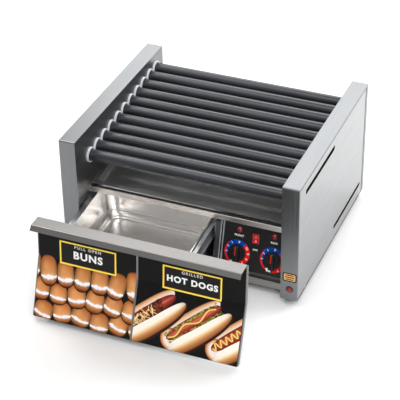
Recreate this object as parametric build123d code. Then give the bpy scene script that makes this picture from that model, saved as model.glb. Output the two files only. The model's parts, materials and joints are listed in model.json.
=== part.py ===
"""Hot dog roller grill with a pull-out bun drawer, built as separate sheet, tube and moving pieces.

Machine frame while modelling: X to the right, Y back from the towers' front faces, Z up from the
towers' bottom edges, in millimetres. Every piece is moved to the part's own frame when it is written:
the origin is then on the floor, under the middle of the whole outline with the drawer open.
"""
import math
import os

from build123d import *

# ---------------------------------------------------------------- overall sizes
WIDTH = 606.0
DEPTH = 522.0
HEIGHT = 315.0
TOWER_W = 42.0
FOOT_H = 15.0
SHEET = 1.2
OUTER_X = WIDTH / 2
INNER_X = OUTER_X - TOWER_W
PLATE_T = 1.5
SIDES = (-1, 1)

# ---------------------------------------------------------------- roller bed
ROLLER_COUNT = 11
ROLLER_R = 14.3
ROLLER_BORE_R = 12.7
ROLLER_PITCH_Y = 39.8
ROLLER_FIRST = (75.5, 240.5)
BED_SLOPE = 4.82
ROLLER_LEFT_END = -270.0
ROLLER_RIGHT_END = 273.0
BUSH_BORE_R = 14.35
BUSH_FLANGE_R = 19.0
BUSH_SPIGOT_R = 16.0
BUSH_PROUD = 4.5
BUSH_SPIGOT_L = 4.0
ELEMENT_R = 4.0
ELEMENT_HALF_L = 292.0
HOLDER_X = 289.0
HOLDER_T = 1.5

# ---------------------------------------------------------------- chain drive
CHAIN_PITCH = 9.525
ROLLER_TEETH = 10
DRIVE_TEETH = 15
TOOTH_ADDENDUM = 1.6
TOOTH_DEDENDUM = 2.54
SPROCKET_T = 3.0
CHAIN_CLEARANCE = 0.4
CHAIN_ROLLER_R = 2.4
DRIVE_CENTRE = (182.0, 92.0)
SHAFT_R = 5.0
RUN_CLEARANCE = 0.05

# ---------------------------------------------------------------- drawer and slides, sloped down to the front
SLIDE_SLOPE = 4.0
DRAWER_TRAVEL_IN = 258.0
FRONT_HALF_W = 257.5
HANDLE_HALF_W = 256.0
FRONT_TOP = (-210.5, 239.2)
HANDLE_RIDGE = (-241.0, 238.2)
HANDLE_LIP = (-250.2, 228.3)
FRONT_KINK = (-219.2, 138.6)
FRONT_BOTTOM = (-270.3, -1.7)
RETURN_DEPTH = 10.0
TOP_RETURN_DEPTH = 6.0
GRAPHIC_T = 1.5
GRAPHIC_TOP_Z = 231.0
DIVIDER_X = -5.0
FRAME_LEFT_X = -246.5
FRAME_RIGHT_X = 61.5
RIM_Q = 130.0
FRAME_BOTTOM_Q = 33.0
PAN_FRONT_P = -209.0
PAN_BACK_P = 134.0
SLIDE_Q = 111.0
SLIDE_LENGTH = 372.0
SLIDE_FRONT_P = 60.0

# ---------------------------------------------------------------- drip tray and front trim
TRAY_RIM_Q = 158.8
TRAY_DEPTH = 21.0
TRAY_FRONT_P = 80.0
TRAY_BACK_P = 500.0
BAR_Y = 54.0
BAR_BOTTOM_Z = 148.0
BAR_TOP_Z = 163.0

# ---------------------------------------------------------------- control panel
FASCIA_FOOT = (27.0, 36.0)
FASCIA_TILT = 16.0
FASCIA_LENGTH = 115.0
FASCIA_LEFT_X = 88.5
FASCIA_T = 1.5
BOX_WALL_X = 76.0
DIALS = ((137.2, 41.5), (227.7, 41.5))
DIAL_R = 33.0
DIAL_T = 0.8
KNOB_R = 21.0
KNOB_SKIRT_H = 5.0
KNOB_BAR_W = 10.5
KNOB_H = 17.0
STEM_R = 3.0
LAMPS = ((138.0, 100.5), (226.4, 100.5))
LAMP_R = 7.0
ROCKER_AT = (181.0, 85.5)
ROCKER_W = 16.0
ROCKER_SWEEP_R = 12.0
ROCKER_TILT = 10.0
BEZEL_W = 21.0
BEZEL_H = 29.0

# The outline's foremost line is the bottom edge of the drawer front, its rearmost one the towers' backs.
ORIGIN_Y = (DEPTH + FRONT_BOTTOM[0]) / 2


def block(x0, x1, y0, y1, z0, z1):
    """Box between two corners."""
    centre = Pos((x0 + x1) / 2, (y0 + y1) / 2, (z0 + z1) / 2)
    return centre * Box(abs(x1 - x0), abs(y1 - y0), abs(z1 - z0))


def rod_x(radius, x0, x1, y, z):
    """Round bar along X."""
    return Pos((x0 + x1) / 2, y, z) * Rot(0, 90, 0) * Cylinder(radius, abs(x1 - x0))


def rod_y(radius, y0, y1, x, z):
    """Round bar along Y."""
    return Pos(x, (y0 + y1) / 2, z) * Rot(90, 0, 0) * Cylinder(radius, abs(y1 - y0))


def side_plate(points, x0, x1):
    """Flat plate between x0 and x1 whose outline is drawn in the YZ plane."""
    outline = make_face(Polyline(*points, close=True))
    return extrude(Plane.YZ.offset(min(x0, x1)) * outline, amount=abs(x1 - x0))


def bent_sheet(points, x0, x1, radius=2.0, thickness=SHEET):
    """Sheet bent along a path drawn in the YZ plane, as wide as x0 to x1."""
    section = trace(FilletPolyline(*points, radius=radius), line_width=thickness)
    return extrude(Plane.YZ.offset(min(x0, x1)) * section, amount=abs(x1 - x0))


def tilt(shape):
    """Turn a shape drawn level (Y along the slides, Z across them) to the slides' slope."""
    return Rot(SLIDE_SLOPE, 0, 0) * shape


def group(shapes):
    """Several separate solids in one node."""
    return Compound([solid for shape in shapes for solid in shape.solids()])


def roller_centres():
    """Centres (y, z) of the rollers, front to back."""
    rise = math.tan(math.radians(BED_SLOPE))
    return [
        (ROLLER_FIRST[0] + i * ROLLER_PITCH_Y, ROLLER_FIRST[1] + i * ROLLER_PITCH_Y * rise)
        for i in range(ROLLER_COUNT)
    ]


def pitch_radius(teeth):
    return CHAIN_PITCH / (2 * math.sin(math.pi / teeth))


def slope_point(p, q):
    """Machine (y, z) of a point given along (p) and across (q) the slides."""
    slope = math.radians(SLIDE_SLOPE)
    return (
        p * math.cos(slope) - q * math.sin(slope),
        p * math.sin(slope) + q * math.cos(slope),
    )


# ---------------------------------------------------------------- towers
SEAM_TOP = 3.0
SEAM_BACK = 15.0
SEAM_FRONT = 5.0
SEAM_GAP = 0.7
LIP_IN = 9.0
PANEL_OUT = 0.4
SCREW_R = 2.0
SIDE_SCREWS = ((56.0, 7.0), (268.0, 7.0), (489.0, 7.0), (40.0, 285.0))
UPPER_SLOT = (45.0, 257.0, 282.0, 13.0)
LOWER_SLOT = (273.0, 489.0, 36.0, 11.0)


def tower_shell(side):
    """Wrapper of one tower: front, top, back and bottom, with a stepped lip for the side panel."""
    def ring(x0, x1, front, back, bottom, top):
        outline = Pos(DEPTH / 2, HEIGHT / 2) * RectangleRounded(DEPTH, HEIGHT, 3.5)
        window = Pos((front + DEPTH - back) / 2, (bottom + HEIGHT - top) / 2) * Rectangle(
            DEPTH - front - back, HEIGHT - bottom - top
        )
        return extrude(Plane.YZ.offset(min(x0, x1)) * (outline - window), amount=abs(x1 - x0))

    face = OUTER_X * side
    step = (OUTER_X - PANEL_OUT - SHEET) * side
    back_of_lip = (OUTER_X - PANEL_OUT - 2 * SHEET) * side
    shell = ring(INNER_X * side, back_of_lip, SHEET, SHEET, SHEET, SHEET)
    shell += ring(back_of_lip, step, LIP_IN + SEAM_FRONT, LIP_IN + SEAM_BACK, LIP_IN, LIP_IN + SEAM_TOP)
    shell += ring(step, face, SEAM_FRONT, SEAM_BACK, SHEET, SEAM_TOP)
    for y, z in SIDE_SCREWS:
        shell -= rod_x(SCREW_R + RUN_CLEARANCE, (OUTER_X - 10) * side, face, y, z)
    if side > 0:
        shell -= rod_y(LAMP_R - 0.5, -1, SHEET + 1, TOWER_LAMP[0], TOWER_LAMP[1])
    return shell


def side_panel(side):
    """Outer side sheet of one tower, set into the wrapper, with two long vent slots."""
    inner = (OUTER_X - PANEL_OUT - SHEET) * side
    outer = (OUTER_X - PANEL_OUT) * side
    panel = block(inner, outer, SEAM_FRONT + SEAM_GAP, DEPTH - SEAM_BACK - SEAM_GAP,
                  SHEET + SEAM_GAP / 2, HEIGHT - SEAM_TOP - SEAM_GAP)
    for y0, y1, z, height in (UPPER_SLOT, LOWER_SLOT):
        slot = Pos((y0 + y1) / 2, z) * SlotOverall(y1 - y0, height)
        panel -= extrude(Plane.YZ.offset(min(inner, outer) - 1) * slot, amount=SHEET + 2)
    for y, z in SIDE_SCREWS:
        panel -= rod_x(SCREW_R + RUN_CLEARANCE, inner - side, outer + side, y, z)
    return panel


TOWER_LAMP = (283.5, 32.0)
LEDGE_W = 9.5
LEDGE_GAP = 0.6


def inner_plate(side):
    """Sheet on the roller side of a tower: bores for the bushes, and a folded ledge for the tray."""
    near = INNER_X * side
    far = (INNER_X + PLATE_T) * side
    plate = block(near, far, SHEET + 0.1, DEPTH - SHEET - 0.1, SHEET + 0.1, HEIGHT - SHEET - 0.1)
    for y, z in roller_centres():
        plate -= rod_x(BUSH_SPIGOT_R + RUN_CLEARANCE, near - side, far + side, y, z)
    if side > 0:
        plate -= rod_x(SHAFT_R + 4, near - side, far + side, *DRIVE_CENTRE)
    ledge_q = TRAY_RIM_Q - SHEET - LEDGE_GAP
    ledge = block(near, (INNER_X - LEDGE_W) * side, TRAY_FRONT_P + 6, TRAY_BACK_P, ledge_q - SHEET, ledge_q)
    return plate + tilt(ledge)


# ---------------------------------------------------------------- base, back and front trim
RAIL_TOP_Z = 19.4
RAIL_STEP_Y = 39.0
BACK_TOP_Z = 235.0
GLAND_AT = (205.0, 46.0)
GLAND_BORE_R = 4.5
VENT_ROWS = 5
VENT_SIZE = (64.0, 5.0)
VENT_PITCH = 14.0
VENT_COLUMNS = (-170.0, -85.0, 0.0, 85.0)


def base_pan():
    """Floor of the machine: one sheet folded up into the front rail and the rear flange."""
    half = SHEET / 2
    floor_z = half + 0.8
    path = (
        (DEPTH - 3.0, 30.0),
        (DEPTH - 3.0, floor_z),
        (FASCIA_FOOT[0] + half, floor_z),
        (FASCIA_FOOT[0] + half, RAIL_TOP_Z),
        (RAIL_STEP_Y, RAIL_TOP_Z),
        (RAIL_STEP_Y, 29.0),
    )
    return bent_sheet(path, -INNER_X, INNER_X, radius=1.6)


def back_panel():
    """Rear sheet between the towers, with louvre slots and the hole for the cable gland."""
    y0 = DEPTH - 3.0 + SHEET / 2
    panel = block(-INNER_X, INNER_X, y0, y0 + SHEET, 2.2, BACK_TOP_Z)
    for x in VENT_COLUMNS:
        for row in range(VENT_ROWS):
            slot = Pos(x, 110.0 + row * VENT_PITCH) * SlotOverall(*VENT_SIZE)
            panel -= extrude(Plane.XZ.offset(-y0 + 1) * slot, amount=-(SHEET + 2))
    panel -= rod_y(GLAND_BORE_R + 3.5, y0 - 1, y0 + SHEET + 1, *GLAND_AT)
    return panel


def cord_gland():
    """Snap-in bush that lines the cable hole in the back panel."""
    y0 = DEPTH - 3.0 + SHEET / 2
    bush = rod_y(GLAND_BORE_R + 3.4, y0 - 6, y0 + SHEET, *GLAND_AT)
    bush += rod_y(GLAND_BORE_R + 6.5, y0 + SHEET, DEPTH, *GLAND_AT)
    bush += rod_y(GLAND_BORE_R + 5.0, y0 - 6, y0 - 3, *GLAND_AT)
    return bush - rod_y(GLAND_BORE_R, y0 - 7, DEPTH + 1, *GLAND_AT)


BRACKET_W = 19.0


def tray_front_rail():
    """Bright C-shaped bar across the front of the tray opening, welded to an angle at its left end."""
    half = SHEET / 2
    path = (
        (BAR_Y + 12, BAR_TOP_Z - half),
        (BAR_Y + half, BAR_TOP_Z - half),
        (BAR_Y + half, BAR_BOTTOM_Z + half),
        (BAR_Y + 9, BAR_BOTTOM_Z + half),
    )
    left = -INNER_X
    bar = bent_sheet(path, left + BRACKET_W, INNER_X, radius=1.0)
    face = block(left, left + BRACKET_W, BAR_Y, BAR_Y + SHEET, BAR_BOTTOM_Z, BAR_TOP_Z)
    cheek = block(left, left + SHEET, BAR_Y, BAR_Y + 14, BAR_BOTTOM_Z, BAR_TOP_Z)
    return bar + face + cheek


def feet():
    """Four tapered rubber feet."""
    def foot(x, y):
        cone = Cone(12.0, 14.5, FOOT_H)
        recess = Pos(0, 0, -FOOT_H / 2) * Cylinder(5.0, 5.0)
        return Pos(x, y, -FOOT_H / 2) * (cone - recess)

    reach_x = OUTER_X - TOWER_W / 2
    return group([foot(side * reach_x, y) for side in SIDES for y in (45.0, DEPTH - 45.0)])


# ---------------------------------------------------------------- rollers and their drive
def roller(y, z):
    """Coated tube, open at both ends."""
    tube = rod_x(ROLLER_R, ROLLER_LEFT_END, ROLLER_RIGHT_END, y, z)
    return tube - rod_x(ROLLER_BORE_R, ROLLER_LEFT_END - 1, ROLLER_RIGHT_END + 1, y, z)


def roller_bearings():
    """White bushes, one at each end of each tube."""
    bushes = []
    for side in SIDES:
        near = (INNER_X - BUSH_PROUD) * side
        face = INNER_X * side
        end = (INNER_X + PLATE_T + BUSH_SPIGOT_L) * side
        for y, z in roller_centres():
            bush = rod_x(BUSH_FLANGE_R, near, face, y, z) + rod_x(BUSH_SPIGOT_R, face, end, y, z)
            bushes.append(bush - rod_x(BUSH_BORE_R, near - side, end + side, y, z))
    return group(bushes)


def toothed_disc(teeth, x0, y, z):
    """Chain wheel plate with rounded tooth gaps."""
    tip = pitch_radius(teeth) + TOOTH_ADDENDUM
    gap_r = TOOTH_DEDENDUM
    wheel = Circle(tip)
    for i in range(teeth):
        angle = 2 * math.pi * (i + 0.5) / teeth
        reach = pitch_radius(teeth)
        wheel -= Pos(reach * math.cos(angle), reach * math.sin(angle)) * Circle(gap_r)
    return extrude(Plane.YZ.offset(x0) * (Pos(y, z) * wheel), amount=SPROCKET_T)


def roller_sprocket(y, z):
    """Ten-tooth wheel whose hollow hub plugs into the drive end of a tube."""
    hub_start = ROLLER_RIGHT_END - 11
    wheel = toothed_disc(ROLLER_TEETH, ROLLER_RIGHT_END, y, z)
    hub = rod_x(ROLLER_BORE_R, hub_start, ROLLER_RIGHT_END, y, z)
    return wheel + hub - rod_x(ELEMENT_R + 2.5, hub_start - 1, ROLLER_RIGHT_END + SPROCKET_T + 1, y, z)


GEARBOX = (205.0, 248.0, 150.0, 214.0, 58.0, 128.0)
MOTOR_R = 29.0
MOTOR_X = 120.0
SHAFT_START_X = 226.0
BRACKET_T = 2.0


def drive_sprocket():
    """Fifteen-tooth wheel made in one with its stub shaft."""
    y, z = DRIVE_CENTRE
    wheel = toothed_disc(DRIVE_TEETH, ROLLER_RIGHT_END, y, z)
    boss = rod_x(9.0, INNER_X + 6, ROLLER_RIGHT_END, y, z)
    return wheel + boss + rod_x(SHAFT_R, SHAFT_START_X, ROLLER_RIGHT_END + 6, y, z)


def gear_motor():
    """Gearbox with the round motor on its far side, and a bore for the output shaft."""
    y, z = DRIVE_CENTRE
    box = fillet(block(*GEARBOX).edges().filter_by(Axis.X), 6)
    box += rod_x(MOTOR_R, MOTOR_X, GEARBOX[0], y, z)
    box += rod_x(MOTOR_R - 6, MOTOR_X - 8, MOTOR_X, y, z)
    return box - rod_x(SHAFT_R + RUN_CLEARANCE, SHAFT_START_X - 1, GEARBOX[1] + 1, y, z)


def motor_bracket():
    """Angle that carries the gear motor on the floor sheet."""
    floor_z = SHEET + 0.8
    upright = block(GEARBOX[1], GEARBOX[1] + BRACKET_T, 140, 224, floor_z, GEARBOX[5] + 4)
    foot = block(GEARBOX[1] - 28, GEARBOX[1] + BRACKET_T, 140, 224, floor_z, floor_z + BRACKET_T)
    y, z = DRIVE_CENTRE
    return upright + foot - rod_x(SHAFT_R + 4, GEARBOX[1] - 1, GEARBOX[1] + BRACKET_T + 1, y, z)


def chain_route():
    """Evenly spaced pin positions (y, z) around the three outer wheels."""
    small = pitch_radius(ROLLER_TEETH) + TOOTH_ADDENDUM + CHAIN_CLEARANCE + CHAIN_ROLLER_R
    large = pitch_radius(DRIVE_TEETH) + TOOTH_ADDENDUM + CHAIN_CLEARANCE + CHAIN_ROLLER_R
    centres = roller_centres()
    wheels = [(centres[0], small), (DRIVE_CENTRE, large), (centres[-1], small)]
    spans = []
    for (c0, r0), (c1, r1) in zip(wheels, wheels[1:] + wheels[:1]):
        gap = math.dist(c0, c1)
        heading = math.atan2(c1[1] - c0[1], c1[0] - c0[0])
        normal = heading - math.pi / 2 - math.asin((r1 - r0) / gap)
        start = (c0[0] + r0 * math.cos(normal), c0[1] + r0 * math.sin(normal))
        end = (c1[0] + r1 * math.cos(normal), c1[1] + r1 * math.sin(normal))
        spans.append((normal, start, end))
    pieces = []
    for i, (normal, start, end) in enumerate(spans):
        centre, radius = wheels[(i + 1) % 3]
        turn = (spans[(i + 1) % 3][0] - normal) % (2 * math.pi)
        pieces.append((math.dist(start, end), start, end, None))
        pieces.append((turn * radius, normal, turn, (centre, radius)))
    total = sum(piece[0] for piece in pieces)
    count = 2 * round(total / CHAIN_PITCH / 2)
    pins = []
    for k in range(count):
        left = total * k / count
        for length, a, b, wheel in pieces:
            if left <= length:
                break
            left -= length
        share = left / length
        if wheel is None:
            pins.append((a[0] + (b[0] - a[0]) * share, a[1] + (b[1] - a[1]) * share))
        else:
            (y, z), radius = wheel
            angle = a + b * share
            pins.append((y + radius * math.cos(angle), z + radius * math.sin(angle)))
    return pins


LINK_T = 0.8
LINK_HALF_H = 3.6
INNER_LINK_X = 2.1
OUTER_LINK_X = 3.2
PIN_R = 1.3


def roller_chain():
    """Closed loop of alternating inner and outer links."""
    middle = ROLLER_RIGHT_END + SPROCKET_T / 2
    pins = chain_route()

    def plate(start, end, x0):
        heading = math.degrees(math.atan2(end[1] - start[1], end[0] - start[0]))
        mid = ((start[0] + end[0]) / 2, (start[1] + end[1]) / 2)
        outline = Pos(*mid) * Rot(0, 0, heading) * SlotCenterToCenter(math.dist(start, end), 2 * LINK_HALF_H)
        return extrude(Plane.YZ.offset(x0) * outline, amount=LINK_T)

    links = []
    for i, start in enumerate(pins):
        end = pins[(i + 1) % len(pins)]
        reach = INNER_LINK_X if i % 2 else OUTER_LINK_X
        link = plate(start, end, middle + reach) + plate(start, end, middle - reach - LINK_T)
        for y, z in (start, end):
            if i % 2:
                link += rod_x(CHAIN_ROLLER_R, middle - reach, middle + reach, y, z)
                link -= rod_x(PIN_R + RUN_CLEARANCE, middle - reach - 2, middle + reach + 2, y, z)
            else:
                link += rod_x(PIN_R, middle - reach - LINK_T, middle + reach + LINK_T, y, z)
        links.append(link)
    return group(links)


def heating_elements():
    """Sheathed rods, one through each tube."""
    return group([rod_x(ELEMENT_R, -ELEMENT_HALF_L, ELEMENT_HALF_L, y, z) for y, z in roller_centres()])


def element_holders():
    """Strips in the towers that carry the rods' ends, each on two posts from the inner plate."""
    centres = roller_centres()
    first, last = centres[0], centres[-1]
    strips = []
    for side in SIDES:
        x0 = HOLDER_X * side
        x1 = (HOLDER_X + HOLDER_T) * side
        low, high, past = -9.0, 35.0, 9.0
        outline = (
            (first[0] - past, first[1] + low),
            (last[0] + past, last[1] + low),
            (last[0] + past, last[1] + high),
            (first[0] - past, first[1] + high),
        )
        strip = side_plate(outline, x0, x1)
        for y, z in centres:
            strip -= rod_x(ELEMENT_R + RUN_CLEARANCE, x0 - side, x1 + side, y, z)
        for y, z in (first, last):
            strip += rod_x(3.5, (INNER_X + PLATE_T) * side, x0, y, z + high - 4.5)
        strips.append(strip)
    return group(strips)


# ---------------------------------------------------------------- drip tray
TRAY_CORNER_R = 12.0
TRAY_RIM_W = 10.5


def drip_tray():
    """Lift-out tray: a shallow pan with a flat rim on all sides, parallel to the slides."""
    length = TRAY_BACK_P - TRAY_FRONT_P
    width = 2 * (INNER_X - 0.6)
    centre = Pos(0, (TRAY_FRONT_P + TRAY_BACK_P) / 2, TRAY_RIM_Q)

    def basin(inset, depth):
        top = RectangleRounded(
            width - 2 * TRAY_RIM_W - 2 * inset, length - 2 * TRAY_RIM_W - 2 * inset, TRAY_CORNER_R - inset
        )
        return fillet(extrude(top, amount=-depth, taper=8).faces().sort_by(Axis.Z)[0].edges(), 4 - inset)

    rim = extrude(RectangleRounded(width, length, 3), amount=-SHEET)
    tray = rim + basin(0, TRAY_DEPTH) - basin(SHEET, TRAY_DEPTH - SHEET)
    return tilt(centre * tray)


# ---------------------------------------------------------------- control box
def fascia_frame(x, v, h=0.0):
    """Place a shape on the fascia: x across, v up the slope from its foot, h out of its face."""
    slope = math.radians(FASCIA_TILT)
    plane = Plane(
        origin=(0, FASCIA_FOOT[0], FASCIA_FOOT[1]),
        x_dir=(1, 0, 0),
        z_dir=(0, -math.cos(slope), math.sin(slope)),
    )
    return plane.location * Pos(x, v, h)


def control_fascia():
    """Sloped front sheet of the control box, folded back at its left and bottom edges."""
    half_w = (INNER_X - FASCIA_LEFT_X) / 2
    middle_x = (INNER_X + FASCIA_LEFT_X) / 2
    face = Pos(0, 0, -FASCIA_T / 2) * Box(2 * half_w, FASCIA_LENGTH, FASCIA_T)
    left_fold = Pos(-half_w + FASCIA_T / 2, 0, -5) * Box(FASCIA_T, FASCIA_LENGTH, 10)
    foot_fold = Pos(0, -FASCIA_LENGTH / 2 + FASCIA_T / 2, -4.5) * Box(2 * half_w, FASCIA_T, 9)
    sheet = fascia_frame(middle_x, FASCIA_LENGTH / 2) * (face + left_fold + foot_fold)
    for x, v in DIALS:
        sheet -= fascia_frame(x, v) * Cylinder(5.0, 10)
    for x, v in LAMPS:
        sheet -= fascia_frame(x, v) * Cylinder(LAMP_R - 1.5, 10)
    return sheet - fascia_frame(*ROCKER_AT) * Box(BEZEL_W - 3, BEZEL_H - 3, 10)


def fascia_trim():
    """Two bright half-round strips along the left edge of the fascia."""
    strips = []
    for offset in (2.2, 9.0):
        strip = Cylinder(2.0, FASCIA_LENGTH - 2) & Pos(0, 2, 0) * Box(6, 4, FASCIA_LENGTH)
        lying = Rot(90, 0, 0) * strip
        strips.append(fascia_frame(FASCIA_LEFT_X + offset, FASCIA_LENGTH / 2) * lying)
    return group(strips)


def control_box_wall():
    """Wall between the drawer bay and the control box, with a front flange behind the fascia's edge."""
    slope = math.radians(FASCIA_TILT)
    set_back = FASCIA_T + 0.6
    foot_y = FASCIA_FOOT[0] + set_back / math.cos(slope)

    def front_y(z):
        return foot_y + (z - FASCIA_FOOT[1]) * math.tan(slope)

    low, high = 30.5, BAR_BOTTOM_Z - 1
    floor_z = SHEET + 0.8
    tray_bottom_q = TRAY_RIM_Q - TRAY_DEPTH - 3.0
    back_y = DEPTH - 5.0
    back_z = slope_point(back_y, tray_bottom_q)[1] - 2
    mid = slope_point(TRAY_FRONT_P, tray_bottom_q)
    wall = side_plate(
        ((RAIL_STEP_Y + 1.5, floor_z), (back_y, floor_z), (back_y, back_z), mid,
         (front_y(high), mid[1]), (front_y(low), low), (RAIL_STEP_Y + 1.5, low)),
        BOX_WALL_X, BOX_WALL_X + SHEET,
    )
    flange = side_plate(
        ((front_y(low), low), (front_y(low) + SHEET, low), (front_y(mid[1]) + SHEET, mid[1]),
         (front_y(mid[1]), mid[1])),
        BOX_WALL_X, FASCIA_LEFT_X - 0.4,
    )
    return wall + flange


def dial_plates():
    """Numbered rings under the knobs."""
    return group([
        fascia_frame(x, v, DIAL_T / 2) * (Cylinder(DIAL_R, DIAL_T) - Cylinder(5.0, 4)) for x, v in DIALS
    ])


def knob(x, v):
    """Heat knob: a flat round skirt with a raised finger bar across it, and its stem."""
    gap = 0.5
    skirt = Pos(0, 0, KNOB_SKIRT_H / 2) * Cylinder(KNOB_R, KNOB_SKIRT_H)
    ends = Pos(0, 0, KNOB_H / 2) * Cylinder(KNOB_R - 1.0, KNOB_H)
    bar = ends & Pos(0, 0, KNOB_H / 2) * Box(KNOB_BAR_W, 2 * KNOB_R, KNOB_H)
    body = fillet((skirt + bar).edges().group_by(Axis.Z)[-1], 1.2)
    stem = Pos(0, 0, -9) * Cylinder(STEM_R, 20)
    return fascia_frame(x, v, DIAL_T + gap) * (body + stem)


SWITCH_SIZE = (34.0, 34.0, 26.0)


def heat_switches():
    """Rotary controls on the back of the fascia; their threaded necks carry the knobs' stems."""
    bodies = []
    for x, v in DIALS:
        body = Pos(0, 0, -FASCIA_T - SWITCH_SIZE[2] / 2) * Box(*SWITCH_SIZE)
        neck = Pos(0, 0, -FASCIA_T / 2 + 0.1) * Cylinder(4.8, FASCIA_T + 0.2)
        bore = Pos(0, 0, -14) * Cylinder(STEM_R + RUN_CLEARANCE, 32)
        bodies.append(fascia_frame(x, v) * (body + neck - bore))
    return group(bodies)


def indicator_lenses():
    """Domed red lenses: two on the fascia and one on the right tower's front."""
    def lens(stem_l):
        dome = Sphere(LAMP_R + 1.5) & Pos(0, 0, LAMP_R) * Cylinder(LAMP_R, LAMP_R)
        cap = Pos(0, 0, -LAMP_R / 2 + 1.0) * dome
        return cap + Pos(0, 0, -stem_l / 2 + 0.5) * Cylinder(LAMP_R - 1.6, stem_l + 1)

    placed = [fascia_frame(x, v) * lens(9) for x, v in LAMPS]
    placed.append(Pos(TOWER_LAMP[0], 0, TOWER_LAMP[1]) * Rot(90, 0, 0) * lens(9))
    return group(placed)


def rocker_bezel():
    """Snap-in switch body with its rim, open at the front for the rocker."""
    depth = 20.0
    rim = Pos(0, 0, 1.0) * Box(BEZEL_W, BEZEL_H, 2.0)
    body = Pos(0, 0, -depth / 2) * Box(BEZEL_W - 3.4, BEZEL_H - 3.4, depth)
    well = Pos(0, 0, 2 - (depth - 1) / 2) * Box(ROCKER_W + 0.3, 2 * ROCKER_SWEEP_R + 0.4, depth - 1)
    return fascia_frame(*ROCKER_AT) * (fillet(rim.edges().filter_by(Axis.Z), 1.5) + body - well)


ROCKER_PIVOT_H = -1.0
ROCKER_RISE = 5.2


def power_rocker():
    """Rocker with two flats in a shallow V, resting with its lower flat pressed in."""
    lift = ROCKER_SWEEP_R * math.tan(math.radians(ROCKER_TILT))
    outline = Circle(ROCKER_SWEEP_R) & make_face(Polyline(
        (-ROCKER_SWEEP_R, -6.0), (ROCKER_SWEEP_R, -6.0), (ROCKER_SWEEP_R, ROCKER_RISE),
        (0, ROCKER_RISE - lift), (-ROCKER_SWEEP_R, ROCKER_RISE), close=True))
    solid = extrude(Plane.YZ.offset(-ROCKER_W / 2) * outline, amount=ROCKER_W)
    return fascia_frame(ROCKER_AT[0], ROCKER_AT[1], ROCKER_PIVOT_H) * Rot(ROCKER_TILT, 0, 0) * solid


# ---------------------------------------------------------------- drawer
def front_line(z, back=0.0):
    """Y of the drawer front's visible face at height z, or of a layer `back` millimetres behind it."""
    upper = (FRONT_TOP[0] - FRONT_KINK[0]) / (FRONT_TOP[1] - FRONT_KINK[1])
    lower = (FRONT_KINK[0] - FRONT_BOTTOM[0]) / (FRONT_KINK[1] - FRONT_BOTTOM[1])
    slope = upper if z > FRONT_KINK[1] else lower
    return FRONT_KINK[0] + (z - FRONT_KINK[1]) * slope + back * math.hypot(1, slope)


SHEET_BACK = GRAPHIC_T + SHEET / 2


def drawer_front():
    """Stainless front: handle flange with a rolled lip, upright, sloped lower part and returns."""
    bottom_z = FRONT_BOTTOM[1] + SHEET / 2
    kink = (front_line(FRONT_KINK[1], SHEET_BACK), FRONT_KINK[1])
    top = (front_line(FRONT_TOP[1], SHEET_BACK), FRONT_TOP[1])
    bottom = (front_line(bottom_z, SHEET_BACK), bottom_z)
    panel = bent_sheet((top, kink, bottom, (bottom[0] + RETURN_DEPTH, bottom_z)),
                       -FRONT_HALF_W, FRONT_HALF_W, radius=1.5)
    handle = bent_sheet((HANDLE_LIP, HANDLE_RIDGE, (top[0] + SHEET / 2, FRONT_TOP[1])),
                        -HANDLE_HALF_W, HANDLE_HALF_W, radius=2.5)
    front = panel + handle
    for side in SIDES:
        outline = (top, kink, bottom, (bottom[0] + RETURN_DEPTH, bottom_z),
                   (kink[0] + RETURN_DEPTH, kink[1]), (top[0] + TOP_RETURN_DEPTH, top[1] - 4))
        front += side_plate(outline, (FRONT_HALF_W - SHEET) * side, FRONT_HALF_W * side)
    return front


GRAPHIC_EDGE = 2.5
DIVIDER_W = 5.0


def graphic_layer(x0, x1, low_z, high_z, thickness, back):
    """Flat plate that follows the drawer front's kink."""
    outline = [(front_line(z, back), z) for z in (high_z, FRONT_KINK[1], low_z)]
    outline += [(front_line(z, back + thickness), z) for z in (low_z, FRONT_KINK[1], high_z)]
    return side_plate(outline, x0, x1)


def graphic_panels():
    """Two black picture plates on the drawer front."""
    low = FRONT_BOTTOM[1] + 0.4
    thickness = GRAPHIC_T - 0.05
    left = graphic_layer(-FRONT_HALF_W + GRAPHIC_EDGE, DIVIDER_X - DIVIDER_W / 2, low, GRAPHIC_TOP_Z, thickness, 0)
    right = graphic_layer(DIVIDER_X + DIVIDER_W / 2, FRONT_HALF_W - GRAPHIC_EDGE, low, GRAPHIC_TOP_Z, thickness, 0)
    return group([left, right])


def graphic_divider():
    """Bright strip between the two picture plates."""
    return graphic_layer(DIVIDER_X - DIVIDER_W / 2 + 0.2, DIVIDER_X + DIVIDER_W / 2 - 0.2,
                         FRONT_BOTTOM[1] + 0.4, GRAPHIC_TOP_Z, GRAPHIC_T + 1.0, -1.05)


FRAME_BACK_P = SLIDE_FRONT_P + SLIDE_LENGTH - DRAWER_TRAVEL_IN
RIM_T = 1.2


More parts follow.
